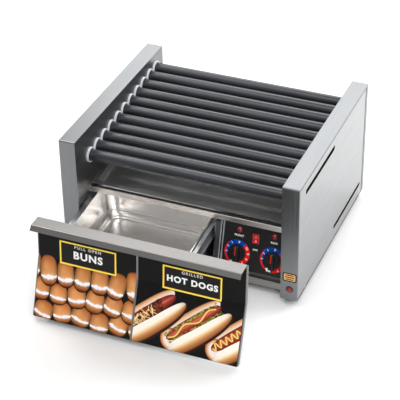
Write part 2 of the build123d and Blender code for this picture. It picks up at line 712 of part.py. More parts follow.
def drawer_frame():
    """Sheet cradle fixed to the drawer front: two sides with inward feet, and a back."""
    behind = SHEET_BACK + SHEET / 2 + 0.05
    top_q = RIM_Q - RIM_T
    low_front = slope_point(0, FRAME_BOTTOM_Q)[1] - 17.0

    def side_sheet(x0, x1):
        z_top = slope_point(-220.0, top_q)[1]
        return side_plate(
            ((front_line(z_top, behind), z_top), (front_line(low_front, behind), low_front),
             slope_point(FRAME_BACK_P, FRAME_BOTTOM_Q), slope_point(FRAME_BACK_P, top_q)), x0, x1)

    left = side_sheet(FRAME_LEFT_X, FRAME_LEFT_X + SHEET)
    right = side_sheet(FRAME_RIGHT_X - SHEET, FRAME_RIGHT_X)
    back = tilt(block(FRAME_LEFT_X, FRAME_RIGHT_X, FRAME_BACK_P - SHEET, FRAME_BACK_P, FRAME_BOTTOM_Q, top_q))
    front_p = -232.0
    feet_in = [
        tilt(block(x0, x1, front_p, FRAME_BACK_P, FRAME_BOTTOM_Q, FRAME_BOTTOM_Q + SHEET))
        for x0, x1 in ((FRAME_LEFT_X, FRAME_LEFT_X + 14), (FRAME_RIGHT_X - 14, FRAME_RIGHT_X))
    ]
    return left + right + back + feet_in[0] + feet_in[1]


PAN_WALL = 1.0
PAN_SHOULDER_Q = 50.0
PAN_FLOOR_Q = 36.5
PAN_CORNER_R = 34.0
PAN_SHOULDER_IN = 13.0
PAN_DRAFT = 2.5


def bun_pan():
    """Deep-drawn stainless pan: flat rim, upper wall, rounded shoulder and a narrower basin."""
    width = FRAME_RIGHT_X - FRAME_LEFT_X
    length = PAN_BACK_P - PAN_FRONT_P
    centre = Pos((FRAME_RIGHT_X + FRAME_LEFT_X) / 2, (PAN_FRONT_P + PAN_BACK_P) / 2, RIM_Q)
    rim_w = 2.2

    def cavity(inset):
        upper_depth = RIM_Q - PAN_SHOULDER_Q - inset
        lower_depth = RIM_Q - PAN_FLOOR_Q - inset
        outer = RectangleRounded(width - 2 * rim_w - 2 * inset, length - 2 * rim_w - 2 * inset,
                                 PAN_CORNER_R - inset)
        step = rim_w + PAN_SHOULDER_IN + inset
        inner = RectangleRounded(width - 2 * step, length - 2 * step, PAN_CORNER_R - inset)
        upper = extrude(outer, amount=-upper_depth, taper=PAN_DRAFT)
        lower = extrude(inner, amount=-lower_depth, taper=PAN_DRAFT)
        lower = fillet(lower.faces().sort_by(Axis.Z)[0].edges(), 9 - inset)
        upper = fillet(upper.faces().sort_by(Axis.Z)[0].edges(), 6 - inset)
        return upper + lower

    rim = extrude(RectangleRounded(width, length, 6), amount=-RIM_T)
    pan = rim + cavity(0) - cavity(PAN_WALL)
    return tilt(centre * pan)


# ---------------------------------------------------------------- ball-bearing slides
def slide_section(boxes, p_front):
    """Long member on both sides of the drawer, from (u0, u1, q0, q1) boxes drawn away from the drawer."""
    members = []
    for edge, side in ((FRAME_LEFT_X, -1), (FRAME_RIGHT_X, 1)):
        member = Part()
        for u0, u1, q0, q1 in boxes:
            member += block(edge + side * u0, edge + side * u1, p_front, p_front + SLIDE_LENGTH,
                            SLIDE_Q + q0, SLIDE_Q + q1)
        members.append(tilt(member))
    return members


def slide_inner_members():
    """Members fixed to the drawer's sides."""
    boxes = ((0, 1.2, -13, 13), (1.2, 4.6, 11.8, 13), (1.2, 4.6, -13, -11.8))
    return group(slide_section(boxes, SLIDE_FRONT_P - DRAWER_TRAVEL_IN))


def slide_middle_members():
    """I-shaped members that run half as far as the drawer, with the strips that hold their balls."""
    boxes = ((7.0, 8.2, -16.8, 16.8), (5.2, 12.3, 15.6, 16.8), (5.2, 12.3, -16.8, -15.6))
    members = slide_section(boxes, SLIDE_FRONT_P - DRAWER_TRAVEL_IN / 2)
    cages = slide_section(((1.9, 5.7, 14.4, 15.6),), SLIDE_FRONT_P - DRAWER_TRAVEL_IN / 2)
    return group(members + cages)


def slide_outer_channels():
    """Channels fixed to the inner plate and to the control box wall."""
    boxes = ((13.3, 14.5, -18.5, 18.5), (9.2, 13.3, 17.3, 18.5), (9.2, 13.3, -18.5, -17.3))
    return group(slide_section(boxes, SLIDE_FRONT_P))


# ---------------------------------------------------------------- fasteners
def cover_screws():
    """Pan-head screws of the side panels."""
    screws = []
    for side in SIDES:
        face = (OUTER_X - PANEL_OUT) * side
        for y, z in SIDE_SCREWS:
            head = rod_x(3.8, face, face + 0.35 * side, y, z)
            shank = rod_x(SCREW_R, face, face - 6 * side, y, z)
            screws.append(head + shank)
    return group(screws)


def write(name, shape):
    """Move a piece's solids to the part's own frame and write them."""
    placed = [Pos(0, -ORIGIN_Y, FOOT_H) * solid for solid in shape.solids()]
    export_step(placed[0] if len(placed) == 1 else Compound(placed), f"parts/{name}.step")


def build():
    for side, word in ((-1, "left"), (1, "right")):
        write(f"{word}_tower_shell", tower_shell(side))
        write(f"{word}_side_panel", side_panel(side))
        write(f"{word}_inner_plate", inner_plate(side))
    for number, (y, z) in enumerate(roller_centres(), start=1):
        write(f"roller_{number:02d}", roller(y, z))
        write(f"roller_sprocket_{number:02d}", roller_sprocket(y, z))
    write("knob_front", knob(*DIALS[0]))
    write("knob_rear", knob(*DIALS[1]))
    makers = (
        base_pan, back_panel, cord_gland, tray_front_rail, feet, roller_bearings,
        drive_sprocket, gear_motor, motor_bracket, roller_chain, heating_elements, element_holders,
        drip_tray, control_fascia, fascia_trim, control_box_wall, dial_plates, heat_switches,
        indicator_lenses, rocker_bezel, power_rocker, drawer_front, graphic_panels, graphic_divider,
        drawer_frame, bun_pan, slide_inner_members, slide_middle_members, slide_outer_channels,
        cover_screws,
    )
    for maker in makers:
        write(maker.__name__, maker())


os.makedirs("parts", exist_ok=True)
build()
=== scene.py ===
"""Looks of the hot dog roller grill: finishes, printed graphics, dials, small hardware and studio.

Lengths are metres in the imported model's frame: X right, Y back, Z up, the drawer opens towards -Y.
"""

import json
import math
import random

import bmesh
import bpy
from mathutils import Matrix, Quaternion, Vector


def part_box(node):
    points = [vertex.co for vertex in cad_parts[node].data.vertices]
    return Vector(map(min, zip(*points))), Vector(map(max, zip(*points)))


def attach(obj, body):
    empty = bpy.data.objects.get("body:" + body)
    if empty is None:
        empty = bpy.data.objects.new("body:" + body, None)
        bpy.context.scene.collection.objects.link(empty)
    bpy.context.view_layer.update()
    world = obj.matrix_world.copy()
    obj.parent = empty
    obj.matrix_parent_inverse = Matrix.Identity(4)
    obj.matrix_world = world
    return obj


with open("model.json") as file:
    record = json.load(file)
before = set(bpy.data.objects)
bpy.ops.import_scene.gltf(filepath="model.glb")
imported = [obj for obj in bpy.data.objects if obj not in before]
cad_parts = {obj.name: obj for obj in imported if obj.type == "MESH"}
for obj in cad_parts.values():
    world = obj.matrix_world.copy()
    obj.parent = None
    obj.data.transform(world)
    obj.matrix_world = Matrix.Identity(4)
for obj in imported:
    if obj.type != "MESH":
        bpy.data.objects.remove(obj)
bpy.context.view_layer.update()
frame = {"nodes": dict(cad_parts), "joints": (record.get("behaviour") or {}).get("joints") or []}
nodes = frame["nodes"]
joints = {joint["name"]: joint for joint in frame["joints"]}
MM = 0.001
FULL_TURN = 2 * math.pi
X_AXIS = Vector((1, 0, 0))
Y_AXIS = Vector((0, 1, 0))
PAINT = "paint"


# ---------------- finishes
class Finish:
    """A Principled material with helpers for the node chains that the finishes share."""

    def __init__(self, name, colour, roughness, metallic=0.0, **sockets):
        self.material = bpy.data.materials.new(name)
        self.material.use_nodes = True
        self.tree = self.material.node_tree
        self.shader = self.tree.nodes["Principled BSDF"]
        self.set(Base_Color=(*colour, 1), Roughness=roughness, Metallic=metallic, **sockets)

    def set(self, **sockets):
        for key, value in sockets.items():
            self.shader.inputs[key.replace("_", " ")].default_value = value

    def add(self, kind, **values):
        node = self.tree.nodes.new(kind)
        for key, value in values.items():
            setattr(node, key, value)
        return node

    def link(self, source, target):
        self.tree.links.new(source, target)

    def place(self, stretch):
        """Object coordinates, multiplied per axis."""
        coordinates = self.add("ShaderNodeTexCoord")
        mapping = self.add("ShaderNodeMapping")
        mapping.inputs["Scale"].default_value = stretch
        self.link(coordinates.outputs["Object"], mapping.inputs["Vector"])
        return mapping.outputs["Vector"]

    def noise(self, scale, stretch=(1, 1, 1), detail=3.0, roughness=0.5):
        node = self.add("ShaderNodeTexNoise")
        node.inputs["Scale"].default_value = scale
        node.inputs["Detail"].default_value = detail
        node.inputs["Roughness"].default_value = roughness
        self.link(self.place(stretch), node.inputs["Vector"])
        return node.outputs["Fac"]

    def blend_colour(self, factor, low, high, start=0.35, end=0.65):
        """Base colour runs from low to high as factor runs from start to end."""
        ramp = self.add("ShaderNodeValToRGB")
        ramp.color_ramp.elements[0].position = start
        ramp.color_ramp.elements[0].color = (*low, 1)
        ramp.color_ramp.elements[1].position = end
        ramp.color_ramp.elements[1].color = (*high, 1)
        self.link(factor, ramp.inputs["Fac"])
        self.link(ramp.outputs["Color"], self.shader.inputs["Base Color"])

    def vary_roughness(self, factor, low, high, start=0.35, end=0.65):
        """Roughness runs from low to high as factor runs from start to end."""
        spread = self.add("ShaderNodeMapRange")
        for key, value in (("From Min", start), ("From Max", end), ("To Min", low), ("To Max", high)):
            spread.inputs[key].default_value = value
        self.link(factor, spread.inputs["Value"])
        self.link(spread.outputs["Result"], self.shader.inputs["Roughness"])

    def bump(self, height, depth, strength):
        """Surface relief; a second call adds its relief on top of the first."""
        node = self.add("ShaderNodeBump")
        node.inputs["Strength"].default_value = strength
        node.inputs["Distance"].default_value = depth
        self.link(height, node.inputs["Height"])
        before = self.shader.inputs["Normal"].links
        if before:
            self.link(before[0].from_socket, node.inputs["Normal"])
        self.link(node.outputs["Normal"], self.shader.inputs["Normal"])


def lighter(colour, share):
    return tuple(min(1.0, part * (1 + share)) for part in colour)


# Noise scales of brushed sheet, across its grain and along it
HAIRLINE_ACROSS, HAIRLINE_ALONG = 420.0, 6.0
BAND_ACROSS, BAND_ALONG = 60.0, 2.5


def brushed_steel(name, colour, across, roughness, contrast=0.08, grain=1.0):
    """Stainless sheet with a linear grain; across names the axes that cut the grain."""
    finish = Finish(name, colour, roughness, metallic=1.0)
    fine = tuple(HAIRLINE_ACROSS if axis in across else HAIRLINE_ALONG for axis in "XYZ")
    broad = tuple(BAND_ACROSS if axis in across else BAND_ALONG for axis in "XYZ")
    hairlines = finish.noise(1.0, fine, detail=4.0, roughness=0.7)
    bands = finish.noise(1.0, broad, detail=3.0)
    finish.blend_colour(bands, lighter(colour, -contrast), lighter(colour, contrast))
    finish.vary_roughness(hairlines, roughness - 0.03, roughness + 0.05)
    finish.bump(hairlines, depth=0.04 * MM * grain, strength=0.14)
    finish.bump(finish.noise(7.0, detail=1.0), depth=1.0 * MM, strength=0.06)
    return finish.material


def drawn_steel(name, colour, roughness):
    """Pressed stainless: smooth, with the faint waviness of deep drawing."""
    finish = Finish(name, colour, roughness, metallic=1.0)
    clouds = finish.noise(6.0, detail=1.0)
    finish.blend_colour(clouds, lighter(colour, -0.04), lighter(colour, 0.03))
    finish.vary_roughness(clouds, roughness - 0.02, roughness + 0.03)
    finish.bump(finish.noise(9.0, detail=0.0), depth=0.8 * MM, strength=0.02)
    return finish.material


def roller_coat():
    """Slate non-stick coating: satin, finely pebbled, with rubbed patches."""
    colour = (0.027, 0.030, 0.036)
    finish = Finish("roller_coat", colour, 0.34, metallic=0.25, Coat_Weight=0.35, Coat_Roughness=0.24)
    patches = finish.noise(14.0, (0.35, 1, 1), detail=5.0, roughness=0.6)
    finish.blend_colour(patches, (0.015, 0.017, 0.021), (0.025, 0.028, 0.035))
    finish.vary_roughness(patches, 0.28, 0.42)
    finish.bump(finish.noise(1500.0, detail=2.0), depth=0.08 * MM, strength=0.5)
    return finish.material


def zinc(name, colour=(0.56, 0.58, 0.61)):
    """Zinc-plated steel with a faint spangle."""
    finish = Finish(name, colour, 0.34, metallic=1.0)
    spangle = finish.noise(60.0, detail=2.0)
    finish.blend_colour(spangle, lighter(colour, -0.10), lighter(colour, 0.08))
    finish.vary_roughness(spangle, 0.29, 0.41)
    finish.bump(spangle, depth=0.05 * MM, strength=0.1)
    return finish.material


def satin_paint(name, colour, roughness, **sockets):
    """Powder coat with fine orange peel."""
    finish = Finish(name, colour, roughness, **sockets)
    peel = finish.noise(700.0, detail=2.0)
    finish.blend_colour(finish.noise(25.0, detail=4.0), lighter(colour, -0.15), lighter(colour, 0.2))
    finish.vary_roughness(peel, roughness - 0.05, roughness + 0.07)
    finish.bump(peel, depth=0.06 * MM, strength=0.5)
    return finish.material


def plastic(name, colour, roughness, grain=0.04 * MM, **sockets):
    """Moulded plastic with a fine tool grain."""
    finish = Finish(name, colour, roughness, **sockets)
    texture = finish.noise(900.0, detail=3.0)
    finish.blend_colour(finish.noise(40.0, detail=3.0), lighter(colour, -0.1), lighter(colour, 0.12))
    finish.vary_roughness(texture, roughness - 0.05, roughness + 0.08)
    finish.bump(texture, depth=grain, strength=0.6)
    return finish.material


def bush_plastic():
    """White moulded bush; its paint runs from nothing at the bore to full at the flange's rim, and colours
    it from near-black painted shade at the bore to white.
    """
    finish = Finish("white_bush", (0.80, 0.82, 0.84), 0.38)
    paint = finish.add("ShaderNodeVertexColor", layer_name=PAINT)
    # near-black painted shade at the bore, where the gap round the roller lies in shade; white towards the
    # rim
    dark, white = (0.02, 0.02, 0.022), (0.78, 0.81, 0.85)
    finish.blend_colour(paint.outputs["Color"], dark, white, start=0.36, end=0.50)
    texture = finish.noise(900.0, detail=3.0)
    finish.vary_roughness(texture, 0.33, 0.46)
    finish.bump(texture, depth=0.04 * MM, strength=0.6)
    return finish.material


def lens_red():
    """Deep red moulded lens."""
    finish = Finish("lens_red", (0.30, 0.012, 0.018), 0.22, Transmission_Weight=0.2, IOR=1.49,
                    Coat_Weight=0.25, Coat_Roughness=0.08)
    rings = finish.noise(600.0, detail=1.0)
    finish.blend_colour(rings, (0.22, 0.008, 0.012), (0.42, 0.02, 0.026))
    finish.bump(rings, depth=0.1 * MM, strength=0.4)
    return finish.material


def printed_film():
    """Glossy printed film: its colour is painted per vertex in linear light."""
    finish = Finish("printed_film", (1, 1, 1), 0.38, Specular_IOR_Level=0.12)
    paint = finish.add("ShaderNodeVertexColor", layer_name=PAINT)
    speck = finish.noise(420.0, detail=3.0)
    mix = finish.add("ShaderNodeMix", data_type="RGBA", blend_type="MULTIPLY")
    shade = finish.add("ShaderNodeMapRange")
    shade.inputs["To Min"].default_value = 0.9
    shade.inputs["To Max"].default_value = 1.1
    mix.inputs["Factor"].default_value = 1.0
    finish.link(speck, shade.inputs["Value"])
    finish.link(paint.outputs["Color"], mix.inputs["A"])
    finish.link(shade.outputs["Result"], mix.inputs["B"])
    finish.link(mix.outputs["Result"], finish.shader.inputs["Base Color"])
    finish.bump(speck, depth=0.02 * MM, strength=0.3)
    return finish.material


WRAPPER = brushed_steel(
    "wrapper_steel", (0.205, 0.212, 0.218), "X", roughness=0.30, contrast=0.012, grain=0.4
)
SIDE = brushed_steel("side_steel", (0.36, 0.364, 0.37), "Z", roughness=0.30, contrast=0.025)
INNER = brushed_steel("inner_steel", (0.22, 0.22, 0.225), "Z", roughness=0.36)
BASE = brushed_steel("base_steel", (0.30, 0.29, 0.28), "YZ", roughness=0.36)
HANDLE = brushed_steel("handle_steel", (0.215, 0.208, 0.201), "YZ", roughness=0.32, contrast=0.03)
RAIL = brushed_steel("rail_steel", (0.60, 0.57, 0.545), "YZ", roughness=0.24, contrast=0.05)
PAN = drawn_steel("pan_steel", (0.86, 0.84, 0.82), 0.265)
TRAY = drawn_steel("tray_steel", (0.72, 0.71, 0.70), 0.33)
COAT = roller_coat()
ZINC = zinc("zinc_plate")
GALVANISED = zinc("galvanised_sheet", (0.42, 0.43, 0.44))
CHAIN = zinc("oiled_chain", (0.20, 0.19, 0.18))
BUSH = bush_plastic()
FASCIA = satin_paint("fascia_black", (0.010, 0.010, 0.011), 0.38)
FILM = satin_paint("black_film", (0.005, 0.005, 0.005), 0.40, Specular_IOR_Level=0.1)
MOTOR = satin_paint("motor_enamel", (0.05, 0.055, 0.065), 0.4)
KNOB = plastic("knob_phenolic", (0.012, 0.012, 0.013), 0.28)
BLACK = plastic("black_nylon", (0.014, 0.014, 0.015), 0.45)
ROCKER = plastic("rocker_red", (0.60, 0.016, 0.020), 0.22, Coat_Weight=0.4, Coat_Roughness=0.08)
RUBBER = plastic("foot_rubber", (0.016, 0.016, 0.016), 0.7, grain=0.2 * MM)
LENS = lens_red()
PRINT = printed_film()

NODE_FINISH = {
    "tower_shell": WRAPPER, "side_panel": SIDE, "inner_plate": INNER, "roller_sprocket": CHAIN,
    "roller_bearings": BUSH, "roller_chain": CHAIN, "roller_": COAT, "drive_sprocket": CHAIN,
    "base_pan": BASE, "back_panel": SIDE, "cord_gland": BLACK, "tray_front_rail": RAIL, "feet": RUBBER,
    "gear_motor": MOTOR, "motor_bracket": GALVANISED, "heating_elements": ZINC,
    "element_holders": GALVANISED, "drip_tray": TRAY, "control_fascia": FASCIA, "fascia_trim": ZINC,
    "control_box_wall": INNER, "dial_plates": FASCIA, "heat_switches": BLACK, "indicator_lenses": LENS,
    "rocker_bezel": BLACK, "power_rocker": ROCKER, "drawer_front": HANDLE, "graphic_panels": FILM,
    "graphic_divider": HANDLE, "drawer_frame": BASE, "bun_pan": PAN, "slide_inner": ZINC,
    "slide_middle": ZINC, "slide_outer": ZINC, "cover_screws": ZINC, "knob_": KNOB,
}


def dress_nodes():
    """Each node takes the finish of the first key that its name holds."""
    for name, node in nodes.items():
        finish = next(value for key, value in NODE_FINISH.items() if key in name)
        node.data.materials.clear()
        node.data.materials.append(finish)


def paint_bushes():
    """Write how far each corner of a bush is from its bore, as a share of the flange, as the mask for the
    painted shade at the bore.
    """
    mesh = nodes["roller_bearings"].data
    centres = [joint["pos_m"] for name, joint in joints.items() if name.startswith("roller_")]
    radii = [min(math.hypot(v.co.y - y, v.co.z - z) for _, y, z in centres) for v in mesh.vertices]
    bore, rim = min(radii), max(radii)
    layer = mesh.color_attributes.new(PAINT, "FLOAT_COLOR", "POINT")
    for entry, radius in zip(layer.data, radii):
        share = (radius - bore) / (rim - bore)
        entry.color = (share, share, share, 1)


dress_nodes()
paint_bushes()


# ---------------- printed graphics
def ink(red, green, blue):
    """Linear colour of an sRGB colour given as shares of one."""
    return tuple(
        part / 12.92 if part <= 0.04045 else ((part + 0.055) / 1.055) ** 2.4 for part in (red, green, blue)
    )


def between(start, end, share):
    share = min(1.0, max(0.0, share))
    return tuple(a + (b - a) * share for a, b in zip(start, end))


def along(stops, share):
    """Colour at share along a list of (position, colour) stops."""
    for (p0, c0), (p1, c1) in zip(stops, stops[1:]):
        if share <= p1:
            return between(c0, c1, (share - p0) / (p1 - p0))
    return stops[-1][1]


WHITE = ink(0.97, 0.97, 0.96)
PALE = ink(0.86, 0.86, 0.86)
YELLOW = ink(1.0, 0.93, 0.36)
AMBER = ink(0.85, 0.45, 0.10)
BLACK_INK = ink(0.10, 0.10, 0.10)
# painted shade for the gaps round the side panels
GAP_SHADE_INK = ink(0.16, 0.16, 0.16)
DIAL_BLUE = ink(0.03, 0.28, 0.66)
DIAL_RED = ink(0.90, 0.13, 0.10)
LAYER = 0.045 * MM
ANY_ANGLE = (0, 6.28)

# Reading the picture plates: what counts as one level, the bend's least distance from their ends, its reach,
# and how near t = 0 a point lies on it
LEVEL_SLACK = 0.02 * MM
BEND_MARGIN = 10 * MM
BEND_REACH = 2 * MM
AT_BEND = 0.001 * MM


class DrawerFace:
    """The drawer front's printed face: x across, t up the sheet from its bend, lift out of it."""

    def __init__(self):
        corners = [vertex.co for vertex in nodes["graphic_panels"].data.vertices]
        levels = sorted({round(co.z, 5) for co in corners})
        foot_z, top_z = levels[0], levels[-1]
        foot_y, top_y = [
            min(co.y for co in corners if abs(co.z - z) < LEVEL_SLACK) for z in (foot_z, top_z)
        ]
        bends = [z for z in levels if foot_z + BEND_MARGIN < z < top_z - BEND_MARGIN]
        bend_z = sum(bends) / len(bends)
        bend_y = min(co.y for co in corners if abs(co.z - bend_z) < BEND_REACH)
        self.bend = Vector((0, bend_y, bend_z))
        self.top = Vector((0, top_y, top_z)) - self.bend
        self.bottom = Vector((0, foot_y, foot_z)) - self.bend
        self.up_length = self.top.length
        self.down_length = self.bottom.length

    def place(self, x, t, lift):
        up = self.top.normalized()
        down = self.bottom.normalized()
        upper_normal = X_AXIS.cross(up)
        lower_normal = down.cross(X_AXIS)
        if abs(t) < AT_BEND:
            normal = (upper_normal + lower_normal).normalized()
        else:
            normal = upper_normal if t > 0 else lower_normal
        run = up * t if t >= 0 else down * -t
        return self.bend + X_AXIS * x + run + normal * lift


class Plaque:
    """A flat face: x to the right and t up from its origin, lift out of it."""

    def __init__(self, origin, normal, across=X_AXIS):
        self.origin = Vector(origin)
        self.normal = Vector(normal).normalized()
        self.across = across
        self.up = self.normal.cross(across).normalized()
        if self.up.z < 0:
            self.up = -self.up

    def place(self, x, t, lift):
        return self.origin + self.across * x + self.up * t + self.normal * lift


def add_piece(name, shape, finish, body):
    """Turn a bmesh into an object with its finish and body."""
    mesh = bpy.data.meshes.new(name)
    shape.to_mesh(mesh)
    shape.free()
    mesh.materials.append(finish)
    piece = bpy.data.objects.new(name, mesh)
    bpy.context.collection.objects.link(piece)
    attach(piece, body)
    return piece


class Print:
    """Flat coloured shapes, stacked in thin layers and then laid on a face."""

    def __init__(self):
        self.mesh = bmesh.new()
        self.layer = self.mesh.verts.layers.float_color.new(PAINT)

    def point(self, x, t, lift, colour):
        vertex = self.mesh.verts.new((x, t, lift))
        vertex[self.layer] = (*colour, 1)
        return vertex

    def grid(self, columns, rows, place, colour, lift):
        """Patch over u and v from 0 to 1; place gives (x, t) and colour the ink."""
        rings = []
        for j in range(rows + 1):
            v = j / rows
            rings.append([
                self.point(*place(i / columns, v), lift, colour(i / columns, v)) for i in range(columns + 1)
            ])
        for lower, upper in zip(rings, rings[1:]):
            for i in range(columns):
                self.mesh.faces.new((lower[i], lower[i + 1], upper[i + 1], upper[i]))

    def polygon(self, points, colour, lift):
        self.mesh.faces.new([self.point(x, t, lift, colour) for x, t in points])

    def ring(self, outer, inner, colour, lift):
        """Band between two outlines with the same number of points."""
        count = len(outer)
        outside = [self.point(x, t, lift, colour) for x, t in outer]
        inside = [self.point(x, t, lift, colour) for x, t in inner]
        for i in range(count):
            j = (i + 1) % count
            self.mesh.faces.new((outside[i], outside[j], inside[j], inside[i]))

    def words(self, text, size, x, t, colour, lift, weight, spread=1.0, turn=0.0):
        """Text centred on (x, t)."""
        curve = bpy.data.curves.new("words", "FONT")
        curve.body = text
        curve.size = size
        curve.offset = weight
        curve.align_x = "CENTER"
        curve.align_y = "CENTER"
        curve.space_character = spread
        curve.resolution_u = 4
        holder = bpy.data.objects.new("words", curve)
        bpy.context.collection.objects.link(holder)
        evaluated = holder.evaluated_get(bpy.context.evaluated_depsgraph_get())
        outline = bpy.data.meshes.new_from_object(evaluated)
        c, s = math.cos(turn), math.sin(turn)
        vertices = [
            self.point(x + co.x * c - co.y * s, t + co.x * s + co.y * c, lift, colour)
            for co in (vertex.co for vertex in outline.vertices)
        ]
        for face in outline.polygons:
            self.mesh.faces.new([vertices[i] for i in face.vertices])
        bpy.data.objects.remove(holder)
        bpy.data.curves.remove(curve)
        bpy.data.meshes.remove(outline)

    def cut(self, point, outward, clear=False):
        """Split what crosses a plane; clear drops what lies outside it."""
        parts = self.mesh.verts[:] + self.mesh.edges[:] + self.mesh.faces[:]
        bmesh.ops.bisect_plane(self.mesh, geom=parts, plane_co=point, plane_no=outward, clear_outer=clear)

    def clip(self, x_low, x_high, t_low, t_high):
        self.cut((x_low, 0, 0), (-1, 0, 0), clear=True)
        self.cut((x_high, 0, 0), (1, 0, 0), clear=True)
        self.cut((0, t_low, 0), (0, -1, 0), clear=True)
        self.cut((0, t_high, 0), (0, 1, 0), clear=True)

    def lay(self, name, face, body):
        """Split at t = 0, where the drawer front bends, lay on the face and ride."""
        self.cut((0, 0, 0), (0, 1, 0))
        for vertex in self.mesh.verts:
            vertex.co = face.place(*vertex.co)
        bmesh.ops.recalc_face_normals(self.mesh, faces=self.mesh.faces)
        outward = face.place(0, 1, 1) - face.place(0, 1, 0)
        for polygon in self.mesh.faces:
            polygon.normal_update()
            if polygon.normal.dot(outward) < 0:
                polygon.normal_flip()
        add_piece(name, self.mesh, PRINT, body)


def plain(colour):
    """One ink all over a patch."""
    return lambda u, v: colour


def graded(stops):
    """Ink that runs through its stops across a patch."""
    return lambda u, v: along(stops, v)


def tipped(stops, tip, share, exponent):
    """Graded ink that turns into the tip's colour at both ends of a patch."""
    return lambda u, v: between(along(stops, v), tip, share * abs(2 * u - 1) ** exponent)


def rectangle(x0, x1, t0, t1):
    return [(x0, t0), (x1, t0), (x1, t1), (x0, t1)]


def power(value, exponent):
    """Power of a value's size, with the value's sign."""
    return math.copysign(abs(value) ** exponent, value)


# ---------------- the drawer's left picture: buns
CRUST_TOP = ((0.0, ink(0.95, 0.78, 0.55)), (0.22, ink(0.87, 0.60, 0.36)), (0.6, ink(0.80, 0.50, 0.27)),
             (0.9, ink(0.68, 0.38, 0.18)), (1.0, ink(0.50, 0.25, 0.10)))
CRUST_FOOT = ((0.0, ink(0.90, 0.70, 0.47)), (0.35, ink(0.78, 0.50, 0.27)), (0.8, ink(0.52, 0.27, 0.11)),
              (1.0, ink(0.30, 0.13, 0.05)))
CRUST_GLOW = ink(0.93, 0.70, 0.47)
CRUMB = ((0.0, ink(0.72, 0.62, 0.60)), (0.25, ink(0.96, 0.93, 0.95)), (0.75, ink(0.99, 0.98, 0.99)),
         (1.0, ink(0.90, 0.80, 0.72)))
SHADOW_INK = ink(0.17, 0.09, 0.06)

# A bun's own shape and shading; lengths are shares of its half width and half height
BUN_SQUARENESS = 0.86
BUN_SHADOW_GROWTH = 1.09
BUN_SHADES = (0.90, 1.06)
GLOW_A, GLOW_B = -0.25, 0.3
GLOW_SHARE = 0.35
GLOW_FALL = 9
RIM_DARKENING = 0.85
RIM_POWER = 3.5
CRUMB_DIP = 0.16
CRUMB_REACH = 0.92
CRUMB_HALF_THICKNESS = 0.165
CRUMB_TAPER = 0.8
CRUMB_TAPER_POWER = 4
RIPPLES = 5
FINE_RIPPLES = 13
LINE_WAVE = 0.02
THICKNESS_WAVE = 0.035
FINE_WAVE = 0.025

# Rows from the foot up: t of the buns' middle, their height and width, and as shares of a bun, how high
# the crumb line lies and how far right the row starts
BUN_ROWS = (
    (-124 * MM, 50 * MM, 48 * MM, -0.30, 0.0),
    (-80 * MM, 53 * MM, 46.5 * MM, -0.22, -0.24),
    (-25 * MM, 67 * MM, 43.5 * MM, -0.36, 0.15),
)

# Layers that a row and every second bun rise by, the seeds, and the random ranges for each bun
ROW_LAYERS = 4
ODD_BUN_LAYERS = 0.4
FIRST_ROW_SEED = 3
BUN_SEEDS_PER_ROW = 20
TURN_DEGREES = (-17, 10)
JITTER_MM = (-4.5, 4.5)
WIDTH_SHARES = (0.95, 1.06)
HEIGHT_SHARES = (0.92, 1.1)
LINE_SHIFTS = (-0.1, 0.08)
BUN_COLUMNS = 36


def draw_bun(sheet, x, t, width, height, turn, split, lift, seed):
    """One bun seen end on: domed crust, white crumb line and lower crust, over its own shadow."""
    chance = random.Random(seed)
    shade = chance.uniform(*BUN_SHADES)
    wave = chance.uniform(*ANY_ANGLE)
    c, s = math.cos(turn), math.sin(turn)

    def at(a, b, grow=1.0):
        px, pt = a * width / 2 * grow, b * height / 2 * grow
        return x + px * c - pt * s, t + px * s + pt * c

    def squared(u, v):
        """Point (a, b) at share u round an outline of half size v."""
        angle = FULL_TURN * u
        return v * power(math.cos(angle), BUN_SQUARENESS), v * power(math.sin(angle), BUN_SQUARENESS)

    def disc(u, v):
        return at(*squared(u, v))

    def shadow(u, v):
        return at(*squared(u, v), BUN_SHADOW_GROWTH)

    def line_at(a):
        return split - CRUMB_DIP * (1 - a * a) + LINE_WAVE * math.sin(RIPPLES * a + wave)

    def crust(u, v):
        a, b = squared(u, v)
        line = line_at(a)
        if b > line:
            glow = GLOW_SHARE * math.exp(-((a - GLOW_A) ** 2 + (b - GLOW_B) ** 2) * GLOW_FALL)
            colour = between(along(CRUST_TOP, (b - line) / (1 - line)), CRUST_GLOW, glow)
        else:
            colour = along(CRUST_FOOT, (line - b) / (1 + line))
        return tuple(part * shade * (1 - RIM_DARKENING * abs(a) ** RIM_POWER) for part in colour)

    def crumb_place(u, v):
        a = (u * 2 - 1) * CRUMB_REACH
        half = (CRUMB_HALF_THICKNESS * (1 - CRUMB_TAPER * abs(a) ** CRUMB_TAPER_POWER)
                + THICKNESS_WAVE * math.sin(RIPPLES * a + wave)
                + FINE_WAVE * math.sin(FINE_RIPPLES * a + 2 * wave))
        return at(a, line_at(a) + (v - 0.5) * 2 * half)

    sheet.grid(BUN_COLUMNS, 1, shadow, plain(SHADOW_INK), lift)
    sheet.grid(BUN_COLUMNS, 14, disc, crust, lift + LAYER)
    sheet.grid(24, 4, crumb_place, graded(CRUMB), lift + 2 * LAYER)


def draw_buns(sheet, panel_left, panel_right):
    """Three staggered rows; the upper row lies over the ones below."""
    for level, (t, height, width, split, offset) in enumerate(BUN_ROWS):
        chance = random.Random(level + FIRST_ROW_SEED)
        x = panel_left - width * (0.5 - offset)
        index = 0
        while x < panel_right + width / 2:
            lift = (level * ROW_LAYERS + index % 2 * ODD_BUN_LAYERS + 1) * LAYER
            turn = math.radians(chance.uniform(*TURN_DEGREES))
            jitter = chance.uniform(*JITTER_MM) * MM
            bun_width = width * chance.uniform(*WIDTH_SHARES)
            bun_height = height * chance.uniform(*HEIGHT_SHARES)
            line = split + chance.uniform(*LINE_SHIFTS)
            seed = level * BUN_SEEDS_PER_ROW + index
            draw_bun(sheet, x, t + jitter, bun_width, bun_height, turn, line, lift, seed)
            x += width
            index += 1


